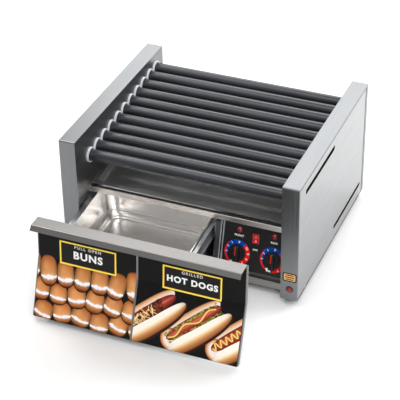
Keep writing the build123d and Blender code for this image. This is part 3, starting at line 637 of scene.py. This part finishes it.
# ---------------- the drawer's right picture: hot dogs
BUN_OUT = ((0.0, ink(0.99, 0.97, 0.92)), (0.38, ink(0.99, 0.96, 0.89)), (0.52, ink(0.95, 0.80, 0.58)),
           (0.7, ink(0.80, 0.54, 0.32)), (1.0, ink(0.48, 0.25, 0.12)))
BUN_IN = ((0.0, ink(0.97, 0.93, 0.92)), (0.55, ink(0.93, 0.87, 0.85)), (0.8, ink(0.92, 0.74, 0.54)),
          (1.0, ink(0.66, 0.40, 0.22)))
BUN_END = ((0.0, ink(0.94, 0.86, 0.84)), (0.62, ink(0.97, 0.91, 0.90)), (0.76, ink(0.93, 0.75, 0.55)),
           (0.9, ink(0.80, 0.52, 0.30)), (1.0, ink(0.50, 0.26, 0.12)))
BUN_TIP = ink(0.55, 0.30, 0.15)
SAUSAGE = ((0.0, ink(0.46, 0.12, 0.09)), (0.3, ink(0.66, 0.22, 0.16)), (0.45, ink(0.84, 0.45, 0.36)),
           (0.6, ink(0.66, 0.22, 0.16)), (1.0, ink(0.36, 0.08, 0.06)))
SAUSAGE_TIP = ink(0.38, 0.08, 0.06)
MUSTARD = ((0.0, ink(0.70, 0.50, 0.12)), (0.35, ink(0.96, 0.83, 0.36)), (0.6, ink(1.0, 0.93, 0.58)),
           (1.0, ink(0.78, 0.58, 0.18)))
CHILI = (ink(0.30, 0.12, 0.08), ink(0.40, 0.18, 0.11), ink(0.22, 0.09, 0.07), ink(0.50, 0.22, 0.12))
CHEESE = ink(0.98, 0.88, 0.62)
RELISH = (ink(0.45, 0.47, 0.16), ink(0.58, 0.56, 0.24), ink(0.34, 0.36, 0.12), ink(0.68, 0.64, 0.34))

DOG_START = Vector((88 * MM, -120 * MM))
DOG_END = Vector((196 * MM, -26 * MM))
END_POWER = 3.2
END_BLUNTNESS = 0.45

# Long parts of a hot dog: how far each goes before the sausage's start and beyond its end, where its middle
# lies across, its half width, how far it bows, and the share of its width that it loses along its length
DOG_SHADOW = (23 * MM, 24 * MM, 27 * MM, 24 * MM, 6 * MM, 0.25)
BACK_BUN = (14 * MM, 13 * MM, -12 * MM, 15 * MM, -2 * MM, 0)
SAUSAGE_BODY = (8 * MM, 9 * MM, -2 * MM, 14.5 * MM, 0, 0)
FRONT_BUN = (21 * MM, 21 * MM, 25 * MM, 21 * MM, 5 * MM, 0.28)
WRAP_S, WRAP_N = 2 * MM, 6 * MM
WRAP_HALF_LENGTH, WRAP_HALF_WIDTH = 27 * MM, 29 * MM
DOG_COLUMNS = 48

# Each hot dog from right to left: its shift along the panel and its topping
DOG_SPACING = 110 * MM
HOT_DOGS = ((DOG_SPACING, "zigzag"), (0, "relish"), (-DOG_SPACING, "chili"))
FIRST_DOG_SEED = 11
DOG_LAYERS = 5.5

# Heights within one hot dog, in layers
BACK_BUN_HEIGHT = 1
END_WRAP_HEIGHT = 1.5
SAUSAGE_HEIGHT = 2
CHILI_HEIGHTS = (2.4, 2.9)
RELISH_HEIGHTS = (2.6, 2.9)
CHEESE_HEIGHTS = (3.0, 3.6)
MUSTARD_HEIGHT = 3.4
FRONT_BUN_HEIGHT = 4.4

# Toppings: how many pieces, their corners, the angle between corners, and their size; the mustard's waves
# along the sausage and their swing
RELISH_COUNT, RELISH_CORNERS, RELISH_STRETCH = 150, 7, 1.3
RELISH_STEP = 6.283 / RELISH_CORNERS
CHILI_COUNT, CHILI_CORNERS, CHILI_STEP = 170, 6, 1.047
CHILI_HALF_LENGTH, CHILI_HALF_WIDTH = 3.6 * MM, 3.0 * MM
CHEESE_COUNT, CHEESE_HALF_WIDTH = 46, 0.7 * MM
MUSTARD_WAVES = {"relish": (2.0, 5.5 * MM), "zigzag": (9.0, 7.5 * MM)}
MUSTARD_START = -3 * MM
MUSTARD_MIDDLE = -3 * MM
MUSTARD_SHORTER = 2 * MM
MUSTARD_HALF_WIDTH = 2.1 * MM


class HotDog:
    """A sausage in an opened bun, lying on a slant: s runs along it and n across it."""

    def __init__(self, sheet, shift, lift, seed):
        self.sheet = sheet
        self.lift = lift
        self.chance = random.Random(seed)
        self.start = DOG_START + Vector((shift, 0))
        self.axis = DOG_END - DOG_START
        self.length = self.axis.length
        self.axis.normalize()
        self.side = Vector((self.axis.y, -self.axis.x))

    def at(self, s, n):
        spot = self.start + self.axis * s + self.side * n
        return spot.x, spot.y

    def height(self, layers):
        return self.lift + layers * LAYER

    def capsule(self, before, beyond, middle, half, bow, taper):
        """Long shape with round ends, from before the sausage's start to beyond its end."""
        s0, s1 = -before, self.length + beyond

        def place(u, v):
            round_end = (1 - abs(2 * u - 1) ** END_POWER) ** END_BLUNTNESS
            width = half * round_end * (1 - taper * u)
            sag = bow * (1 - (2 * u - 1) ** 2)
            return self.at(s0 + (s1 - s0) * u, middle + sag + (v * 2 - 1) * width)
        return place

    def end_wrap(self, u, v):
        """The bun's folded end, round the start of the sausage."""
        angle = FULL_TURN * u
        s = WRAP_S + WRAP_HALF_LENGTH * v * math.cos(angle)
        return self.at(s, WRAP_N + WRAP_HALF_WIDTH * v * math.sin(angle))

    def draw(self, topping):
        """From its shadow up to the front half of the bun; topping names what lies on the sausage."""
        def back_ink(u, v):
            return along(BUN_IN, 1 - v)

        sausage_ink = tipped(SAUSAGE, SAUSAGE_TIP, 0.75, 6)
        front_ink = tipped(BUN_OUT, BUN_TIP, 0.6, 10)
        grid = self.sheet.grid
        grid(DOG_COLUMNS, 6, self.capsule(*DOG_SHADOW), plain(SHADOW_INK), self.height(0))
        grid(DOG_COLUMNS, 10, self.capsule(*BACK_BUN), back_ink, self.height(BACK_BUN_HEIGHT))
        grid(BUN_COLUMNS, 10, self.end_wrap, graded(BUN_END), self.height(END_WRAP_HEIGHT))
        grid(DOG_COLUMNS, 12, self.capsule(*SAUSAGE_BODY), sausage_ink, self.height(SAUSAGE_HEIGHT))
        if topping == "relish":
            self.scatter_relish()
        if topping == "chili":
            self.scatter_chili()
            self.scatter_cheese()
        if topping in MUSTARD_WAVES:
            self.squeeze_mustard(*MUSTARD_WAVES[topping])
        grid(DOG_COLUMNS, 14, self.capsule(*FRONT_BUN), front_ink, self.height(FRONT_BUN_HEIGHT))

    def blot(self, s, n, half_length, half_width, corners, step, twist=0.0):
        """Outline of a small blot round (s, n)."""
        angles = [twist + step * k for k in range(corners)]
        return [self.at(s + half_length * math.cos(a), n + half_width * math.sin(a)) for a in angles]

    def scatter_relish(self):
        """Green bits along both sides of the sausage."""
        chance = self.chance
        for _ in range(RELISH_COUNT):
            s = chance.uniform(-8 * MM, self.length + 4 * MM)
            n = chance.choice((-1, 1)) * chance.uniform(8, 14) * MM - 1 * MM
            radius = chance.uniform(1.2, 2.6) * MM
            twist = chance.uniform(*ANY_ANGLE)
            bit = self.blot(s, n, radius * RELISH_STRETCH, radius, RELISH_CORNERS, RELISH_STEP, twist)
            self.sheet.polygon(bit, chance.choice(RELISH), self.height(chance.uniform(*RELISH_HEIGHTS)))

    def scatter_chili(self):
        """Dark sauce over most of the sausage."""
        chance = self.chance
        for _ in range(CHILI_COUNT):
            s = chance.uniform(-12 * MM, self.length * 0.8)
            n = chance.uniform(-15, 12) * MM
            bit = self.blot(s, n, CHILI_HALF_LENGTH, CHILI_HALF_WIDTH, CHILI_CORNERS, CHILI_STEP)
            self.sheet.polygon(bit, chance.choice(CHILI), self.height(chance.uniform(*CHILI_HEIGHTS)))

    def scatter_cheese(self):
        """Pale shreds on the chili."""
        chance = self.chance
        for _ in range(CHEESE_COUNT):
            s = chance.uniform(2 * MM, self.length * 0.62)
            n = chance.uniform(-11, 9) * MM
            turn = chance.uniform(0, math.pi)
            half = chance.uniform(6, 11) * MM
            ds, dn = math.cos(turn), math.sin(turn)
            shred = [
                self.at(s + a * ds - b * dn, n + a * dn + b * ds)
                for a, b in rectangle(-half, half, -CHEESE_HALF_WIDTH, CHEESE_HALF_WIDTH)
            ]
            self.sheet.polygon(shred, CHEESE, self.height(chance.uniform(*CHEESE_HEIGHTS)))

    def squeeze_mustard(self, waves, swing):
        """A wavy line along the sausage."""
        def place(u, v):
            s = MUSTARD_START + (self.length - MUSTARD_SHORTER) * u
            phase = FULL_TURN * waves * u
            n = MUSTARD_MIDDLE + swing * math.sin(phase)
            slope = swing * math.cos(phase) * FULL_TURN * waves / self.length
            offset = (v * 2 - 1) * MUSTARD_HALF_WIDTH / math.hypot(1, slope)
            return self.at(s - slope * offset, n + offset)

        self.sheet.grid(160, 4, place, graded(MUSTARD), self.height(MUSTARD_HEIGHT))


# ---------------- the drawer's labels
FRAME_HALF_W = 71.5 * MM
FRAME_X = 129.0 * MM
FRAME_TOP = 55.0 * MM
FRAME_FOOT = -6.0 * MM
FRAME_LINE = 3.4 * MM
FRAME_EDGE = 0.9 * MM
FRAME_STEPS = 12
BOARD_INSET = 1.0 * MM
LABEL_LIFT = 0.75 * MM
SMALL_T, SMALL_SIZE, SMALL_WEIGHT, SMALL_SPREAD = 44.5 * MM, 10.5 * MM, 0.25 * MM, 1.35
LARGE_T, LARGE_WEIGHT, LARGE_SPREAD = 22.5 * MM, 0.95 * MM, 1.16
BUNS_SIZE = 27 * MM
HOT_DOGS_SIZE = 21.5 * MM
PRINT_EDGE = 0.6 * MM
PRINT_FOOT = 0.8 * MM


def draw_label(sheet, x, small, large, large_size):
    """Black label with a yellow frame and two lines of plain words."""
    def outline(inset):
        left, right = x - FRAME_HALF_W + inset, x + FRAME_HALF_W - inset
        return rectangle(left, right, FRAME_FOOT + inset, FRAME_TOP - inset)

    def dense(inset):
        """The outline with points along its sides."""
        corners = outline(inset)
        shares = [k / FRAME_STEPS for k in range(FRAME_STEPS)]
        points = []
        for (x0, t0), (x1, t1) in zip(corners, corners[1:] + corners[:1]):
            points += [(x0 + (x1 - x0) * share, t0 + (t1 - t0) * share) for share in shares]
        return points

    over = LABEL_LIFT + LAYER
    sheet.polygon(outline(BOARD_INSET), BLACK_INK, LABEL_LIFT)
    sheet.ring(dense(0), dense(FRAME_LINE), YELLOW, over)
    sheet.ring(dense(FRAME_LINE), dense(FRAME_LINE + FRAME_EDGE), AMBER, over)
    sheet.words(small, SMALL_SIZE, x, SMALL_T, PALE, over, weight=SMALL_WEIGHT, spread=SMALL_SPREAD)
    sheet.words(large, large_size, x, LARGE_T, WHITE, over, weight=LARGE_WEIGHT, spread=LARGE_SPREAD)


def add_drawer_prints():
    face = DrawerFace()
    low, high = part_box("graphic_panels")
    divider_low, divider_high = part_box("graphic_divider")
    foot = -face.down_length + PRINT_FOOT
    left = Print()
    draw_buns(left, low.x, divider_low.x)
    left.clip(low.x + PRINT_EDGE, divider_low.x - PRINT_EDGE / 2, foot, face.up_length)
    left.lay("bun_picture", face, "drawer")
    right = Print()
    for index, (shift, topping) in enumerate(HOT_DOGS):
        HotDog(right, shift, (1 + DOG_LAYERS * index) * LAYER, FIRST_DOG_SEED + index).draw(topping)
    right.clip(divider_high.x + PRINT_EDGE / 2, high.x - PRINT_EDGE, foot, face.up_length)
    right.lay("hot_dog_picture", face, "drawer")
    labels = Print()
    draw_label(labels, -FRAME_X, "PULL OPEN", "BUNS", BUNS_SIZE)
    draw_label(labels, FRAME_X, "GRILLED", "HOT DOGS", HOT_DOGS_SIZE)
    labels.lay("drawer_labels", face, "drawer")


# ---------------- dials and legends
# Angles on a dial are anticlockwise from its top
RING_OUT = 32.3 * MM
RING_IN = 21.6 * MM
RING_WIDTH = RING_OUT - RING_IN
SWITCH_ANGLE = math.radians(321)
BLUE_FULL = math.radians(38)
BLUE_END = math.radians(132)
RED_BAND_END = math.radians(148)
RED_START = math.radians(176)
RED_BAND_SHARE = 0.40
# From which angle to which each band's width grows or tapers
RED_BAND_GROWTH = (BLUE_FULL - 0.1, BLUE_FULL + 0.75)
BLUE_TAPER = (BLUE_FULL + 0.2, BLUE_END)
RED_GROWTH = (RED_START - 0.12, RED_START + 0.6)
NUMBERS = (0, 1, 2, 3, 7, 8, 9, 10)
SMALL_NUMBERS = (2, 3)
NUMBER_SIZE = 8.2 * MM
SMALL_NUMBER_SIZE = 6.6 * MM
FIRST_NUMBER = math.radians(-6)
NUMBER_ONE = math.radians(33)
NUMBER_STEP = math.radians(30.0)
NUMBER_R = 27.0 * MM
ARROW_ANGLE = math.radians(159)
ARROW_HALF_ANGLE = math.radians(15)
ARROW_R = 28.6 * MM
ARROW_SHAFT = 3.4 * MM
ARROW_HEAD = 6.2 * MM
# A knob pointer's left, right, foot and top
POINTER = (-1.2 * MM, 1.2 * MM, -2.5 * MM, 19.4 * MM)
POINTER_INK = ink(0.84, 0.20, 0.16)
LEGEND_SIZE = 6.6 * MM
LEGEND_WEIGHT = 0.2 * MM
LEGEND_SPREAD = 1.16


def face_plaque(node, joint_name):
    """Plaque on a node's outermost face along a joint's axis, centred on the joint."""
    joint = joints[joint_name]
    normal = Vector(joint["axis"])
    centre = Vector(joint["pos_m"])
    height = max((vertex.co - centre).dot(normal) for vertex in nodes[node].data.vertices)
    return Plaque(centre + normal * height, normal)


def polar(angle, radius):
    """Point at an angle anticlockwise from the top."""
    return -math.sin(angle) * radius, math.cos(angle) * radius


def draw_dial(sheet):
    """Ring with a blue and a red crescent, numbers up to 10 and an arrow across the gap at its foot."""
    def ease(angle, start, end):
        share = min(max((angle - start) / (end - start), 0), 1)
        return share * share * (3 - 2 * share)

    def rim(angle):
        return RING_OUT

    def bore(angle):
        return RING_IN

    def border(angle):
        """Radius where blue, inside, meets the thin red band, outside."""
        return RING_OUT - RED_BAND_SHARE * RING_WIDTH * ease(angle, *RED_BAND_GROWTH)

    def blue_inner(angle):
        return RING_IN + (1 - RED_BAND_SHARE) * RING_WIDTH * ease(angle, *BLUE_TAPER)

    def red_inner(angle):
        return RING_OUT - RING_WIDTH * ease(angle, *RED_GROWTH)

    def band(start, end, inner, outer, colour):
        def place(u, v):
            angle = start + (end - start) * u
            return polar(angle, inner(angle) + (outer(angle) - inner(angle)) * v)
        sheet.grid(60, 2, place, plain(colour), LAYER)

    band(SWITCH_ANGLE - FULL_TURN, BLUE_FULL, bore, rim, DIAL_BLUE)
    band(BLUE_FULL, BLUE_END, blue_inner, border, DIAL_BLUE)
    band(BLUE_FULL, RED_BAND_END, border, rim, DIAL_RED)
    band(RED_START, SWITCH_ANGLE, red_inner, rim, DIAL_RED)
    for number in NUMBERS:
        angle = NUMBER_ONE + NUMBER_STEP * (number - 1) if number else FIRST_NUMBER
        size = SMALL_NUMBER_SIZE if number in SMALL_NUMBERS else NUMBER_SIZE
        at = polar(angle, NUMBER_R)
        sheet.words(str(number), size, *at, WHITE, 2 * LAYER, weight=LEGEND_WEIGHT, turn=angle)
    tail, tip = ARROW_ANGLE + ARROW_HALF_ANGLE, ARROW_ANGLE - ARROW_HALF_ANGLE
    shaft = [polar(tail, ARROW_R - ARROW_SHAFT), polar(tail, ARROW_R + ARROW_SHAFT),
             polar(ARROW_ANGLE, ARROW_R + ARROW_SHAFT), polar(ARROW_ANGLE, ARROW_R - ARROW_SHAFT)]
    head = [polar(ARROW_ANGLE, ARROW_R - ARROW_HEAD), polar(ARROW_ANGLE, ARROW_R + ARROW_HEAD),
            polar(tip, ARROW_R)]
    sheet.polygon(shaft, WHITE, 2 * LAYER)
    sheet.polygon(head, WHITE, 2 * LAYER)


def add_dials():
    for side in ("front", "rear"):
        sheet = Print()
        draw_dial(sheet)
        face = face_plaque("dial_plates", f"{side}_knob_turn")
        sheet.lay(f"dial_ring_{side}", face, "machine")
        knob_face = face_plaque(f"knob_{side}", f"{side}_knob_turn")
        line = Print()
        line.polygon(rectangle(*POINTER), POINTER_INK, LAYER)
        line.lay(f"knob_pointer_{side}", knob_face, f"{side}_knob")


def add_legends():
    """The lamps' and the rocker's words."""
    fascia = face_plaque("control_fascia", "front_knob_turn")
    step = Vector(joints["rear_knob_turn"]["pos_m"]) - Vector(joints["front_knob_turn"]["pos_m"])
    sheet = Print()
    for word, x, t in (("FRONT", 0.5 * MM, 43.4 * MM), ("REAR", step.x - 1.5 * MM, 43.1 * MM),
                       ("OFF", 44.0 * MM, 15.5 * MM)):
        sheet.words(word, LEGEND_SIZE, x, t, WHITE, LAYER, weight=LEGEND_WEIGHT, spread=LEGEND_SPREAD)
    sheet.lay("fascia_legends", fascia, "machine")


# ---------------- rocker marks, lamp bezels and badge
MARK_SIZE = 5.6 * MM
MARK_WEIGHT = 0.12 * MM
FLAT_MARGIN = 1 * MM
RIDGE_REACH = 4 * MM


def add_rocker_marks():
    """On and off marks on the rocker's two flats."""
    normal = Vector(joints["front_knob_turn"]["axis"])
    pivot = Vector(joints["rocker_tilt"]["pos_m"])
    face = Plaque(pivot, normal)
    offsets = [vertex.co - pivot for vertex in nodes["power_rocker"].data.vertices]

    def outermost(points):
        """The point furthest out, without its part across the face."""
        point = max(points, key=lambda offset: offset.dot(normal))
        return point.dot(face.up) * face.up + point.dot(normal) * normal

    centre = outermost([offset for offset in offsets if abs(offset.dot(face.up)) < RIDGE_REACH])
    for word, mark, sign in (("upper", "I", 1), ("lower", "O", -1)):
        edge = outermost([offset for offset in offsets if offset.dot(face.up) * sign > FLAT_MARGIN])
        flat_normal = X_AXIS.cross(edge - centre).normalized()
        if flat_normal.dot(normal) < 0:
            flat_normal = -flat_normal
        flat = Plaque(pivot + (edge + centre) / 2, flat_normal)
        sheet = Print()
        sheet.words(mark, MARK_SIZE, 0, 0, WHITE, 2 * LAYER, weight=MARK_WEIGHT)
        sheet.lay(f"rocker_mark_{word}", flat, "rocker")


RING_STEPS = 40
LENS_RIM = 4 * MM
BEZEL_GAP = 0.1 * MM
BEZEL_WIDTH = 1.1 * MM
TOWER_BEZEL_WIDTH = 2.0 * MM
# A bezel's section, as (step outward, lift) from its bore and then from its rim
BORE_SECTION = ((0, 0.05 * MM), (0, 1.0 * MM), (0.3 * MM, 1.3 * MM))
RIM_SECTION = ((-0.4 * MM, 1.1 * MM), (0, 0.6 * MM), (0, 0.05 * MM))


def turned_ring(name, face, profile, finish, body):
    """Ring turned about a face's normal from a closed profile of (radius, lift) points."""
    mesh = bmesh.new()
    rows = []
    for k in range(RING_STEPS):
        c, s = math.cos(FULL_TURN * k / RING_STEPS), math.sin(FULL_TURN * k / RING_STEPS)
        rows.append([mesh.verts.new(face.place(radius * c, radius * s, lift)) for radius, lift in profile])
    for k, row in enumerate(rows):
        after = rows[(k + 1) % RING_STEPS]
        for j in range(len(profile)):
            i = (j + 1) % len(profile)
            mesh.faces.new((row[j], row[i], after[i], after[j]))
    bmesh.ops.recalc_face_normals(mesh, faces=mesh.faces)
    piece = add_piece(name, mesh, finish, body)
    piece.data.shade_smooth()


def sheet_height(word, normal):
    """Distance along the normal of the sheet that a lamp sits in."""
    if word == "tower":
        return -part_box("right_tower_shell")[0].y
    return max(vertex.co.dot(normal) for vertex in nodes["control_fascia"].data.vertices)


def add_lamp_bezels():
    """Black nylon rings around the three lenses."""
    tower_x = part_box("right_tower_shell")[0].x
    middle_x = (joints["front_knob_turn"]["pos_m"][0] + joints["rear_knob_turn"]["pos_m"][0]) / 2
    groups = {"front": [], "rear": [], "tower": []}
    for co in (vertex.co for vertex in nodes["indicator_lenses"].data.vertices):
        groups["tower" if co.x > tower_x else "front" if co.x < middle_x else "rear"].append(co)
    for word, points in groups.items():
        normal = Vector((0, -1, 0)) if word == "tower" else Vector(joints["front_knob_turn"]["axis"])
        reach = max(co.dot(normal) for co in points)
        rim = [co for co in points if co.dot(normal) > reach - LENS_RIM]
        centre = sum(rim, Vector()) / len(rim)
        radius = max((co - centre - normal * (co - centre).dot(normal)).length for co in rim)
        face = Plaque(centre + normal * (sheet_height(word, normal) - centre.dot(normal)), normal)
        inner = radius + BEZEL_GAP
        outer = radius + (TOWER_BEZEL_WIDTH if word == "tower" else BEZEL_WIDTH)
        profile = [(inner + step, lift) for step, lift in BORE_SECTION]
        profile += [(outer + step, lift) for step, lift in RIM_SECTION]
        turned_ring(f"lamp_bezel_{word}", face, profile, BLACK, "machine")


BADGE_W = 35.0 * MM
BADGE_H = 25.0 * MM
BADGE_UP = 35.0 * MM
BADGE_BORDER = 3 * MM
BADGE_CORNER = 5.0 * MM
BADGE_INNER_CORNER = 2.8 * MM
CORNER_STEPS = 6
BADGE_INK = ink(0.90, 0.70, 0.42)
BAR_INK = ink(0.25, 0.13, 0.08)
BAR_HALF_LENGTHS = (9.5 * MM, 11.5 * MM, 9.5 * MM)
BAR_HALF_WIDTH = 1.3 * MM
BAR_PITCH = 6.0 * MM


def rounded(width, height, corner):
    """Outline of a rectangle with round corners, centred."""
    points = []
    for quarter, (sx, st) in enumerate(((1, 1), (-1, 1), (-1, -1), (1, -1))):
        for k in range(CORNER_STEPS + 1):
            angle = math.pi / 2 * (quarter + k / CORNER_STEPS)
            points.append((sx * (width / 2 - corner) + corner * math.cos(angle),
                           st * (height / 2 - corner) + corner * math.sin(angle)))
    return points


def add_badge():
    """Plain amber plaque with three dark bars above the tower's lamp."""
    front_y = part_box("right_tower_shell")[0].y
    inner_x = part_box("right_inner_plate")[1].x
    lenses = [vertex.co for vertex in nodes["indicator_lenses"].data.vertices]
    lamp = max(lenses, key=lambda co: (co.x > inner_x, -co.y))
    face = Plaque((lamp.x, front_y, lamp.z + BADGE_UP), (0, -1, 0))
    sheet = Print()
    sheet.polygon(rounded(BADGE_W, BADGE_H, BADGE_CORNER), BLACK_INK, LAYER)
    plate = rounded(BADGE_W - 2 * BADGE_BORDER, BADGE_H - 2 * BADGE_BORDER, BADGE_INNER_CORNER)
    sheet.polygon(plate, BADGE_INK, 2 * LAYER)
    for row, half in zip((-1, 0, 1), BAR_HALF_LENGTHS):
        t = row * BAR_PITCH
        sheet.polygon(rectangle(-half, half, t - BAR_HALF_WIDTH, t + BAR_HALF_WIDTH), BAR_INK, 3 * LAYER)
    sheet.lay("tower_badge", face, "machine")


# ---------------- painted shade in the side panels' gaps
GAP_SHADE_W = 2.6 * MM


def add_seams():
    """Painted shade of the gaps between each side panel and the wrapper behind, above and below it."""
    for side, sign in (("left", -1), ("right", 1)):
        low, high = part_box(f"{side}_side_panel")
        middle = (low + high) / 2
        half_w, half_h = (high.y - low.y) / 2, (high.z - low.z) / 2
        face = Plaque((high.x if sign > 0 else low.x, middle.y, middle.z), (sign, 0, 0), Y_AXIS)
        above = rectangle(-half_w, half_w, half_h - GAP_SHADE_W, half_h)
        below = rectangle(-half_w, half_w, -half_h, -half_h + GAP_SHADE_W)
        behind = rectangle(half_w - GAP_SHADE_W, half_w, -half_h + GAP_SHADE_W, half_h - GAP_SHADE_W)
        sheet = Print()
        # dark strips of painted shade where each panel's gap lies in shade
        for strip in (above, below, behind):
            sheet.polygon(strip, GAP_SHADE_INK, LAYER)
        sheet.lay(f"{side}_panel_gap_shade", face, "machine")


add_drawer_prints()
add_dials()
add_legends()
add_rocker_marks()
add_badge()
add_lamp_bezels()
add_seams()


# ---------------- studio
CAMERA_AT = Vector((1.1903, -2.8008, 2.2055))
CAMERA_AZIMUTH = math.radians(22.919)
CAMERA_ELEVATION = math.radians(34.000)
CAMERA_ROLL = math.radians(-0.999)
CAMERA_LENS = 135.50
CAMERA_SENSOR = 36.0
WORLD_STRENGTH = 0.56
FLOOR_HALF = 6.0
MIDDLE = (0, 0.1, 0.15)
DECK = (0, -0.1, 0.1)

# Name, place, what it faces, size and radiance of each rectangular light
SOFTBOXES = (
    ("back_left", (-0.3, 2.3, 1.9), MIDDLE, (2.4, 1.8), 2.9),
    ("back_right", (1.8, 1.6, 1.5), (0.9, 0.9, 0), (1.6, 1.6), 5.8),
    ("key", (-1.6, 0.7, 2.4), MIDDLE, (0.8, 0.8), 14.6),
    ("top", (-0.2, -0.6, 2.4), DECK, (1.8, 1.4), 2.3),
    ("right_side", (2.0, -0.9, 1.7), DECK, (1.0, 1.0), 1.4),
    ("front_fill", (1.2, -2.2, 2.0), (0, -0.2, 0.15), (1.4, 1.0), 5.0),
)


def add_camera():
    back = Vector((
        math.sin(CAMERA_AZIMUTH) * math.cos(CAMERA_ELEVATION),
        -math.cos(CAMERA_AZIMUTH) * math.cos(CAMERA_ELEVATION),
        math.sin(CAMERA_ELEVATION),
    ))
    data = bpy.data.cameras.new("camera")
    data.lens = CAMERA_LENS
    data.sensor_width = CAMERA_SENSOR
    camera = bpy.data.objects.new("camera", data)
    camera.rotation_mode = "QUATERNION"
    camera.location = CAMERA_AT
    camera.rotation_quaternion = (-back).to_track_quat("-Z", "Y") @ Quaternion((0, 0, 1), CAMERA_ROLL)
    bpy.context.collection.objects.link(camera)
    bpy.context.scene.camera = camera


def add_softbox(name, place, aim, size, radiance):
    """Rectangular light as bright as radiance, seen from any distance."""
    data = bpy.data.lights.new(name, "AREA")
    data.shape = "RECTANGLE"
    data.size, data.size_y = size
    data.energy = radiance * math.pi * size[0] * size[1]
    light = bpy.data.objects.new(name, data)
    light.location = place
    light.rotation_mode = "QUATERNION"
    light.rotation_quaternion = (Vector(aim) - Vector(place)).to_track_quat("-Z", "Y")
    bpy.context.collection.objects.link(light)


def add_floor():
    finish = Finish("studio_floor", (0.82, 0.82, 0.82), 0.85, Specular_IOR_Level=0.1)
    finish.blend_colour(finish.noise(3.0), (0.81, 0.81, 0.81), (0.83, 0.83, 0.83))
    mesh = bpy.data.meshes.new("floor")
    corners = rectangle(-FLOOR_HALF, FLOOR_HALF, -FLOOR_HALF, FLOOR_HALF)
    mesh.from_pydata([(x, y, 0) for x, y in corners], [], [(0, 1, 2, 3)])
    mesh.materials.append(finish.material)
    floor = bpy.data.objects.new("floor", mesh)
    bpy.context.collection.objects.link(floor)


def light_studio():
    scene = bpy.context.scene
    scene.view_settings.view_transform = "Standard"
    scene.view_settings.look = "None"
    for softbox in SOFTBOXES:
        add_softbox(*softbox)
    scene.world = bpy.data.worlds.new("studio")
    scene.world.use_nodes = True
    background = scene.world.node_tree.nodes["Background"]
    background.inputs["Color"].default_value = (1, 1, 1, 1)
    background.inputs["Strength"].default_value = WORLD_STRENGTH


add_camera()
add_floor()
light_studio()
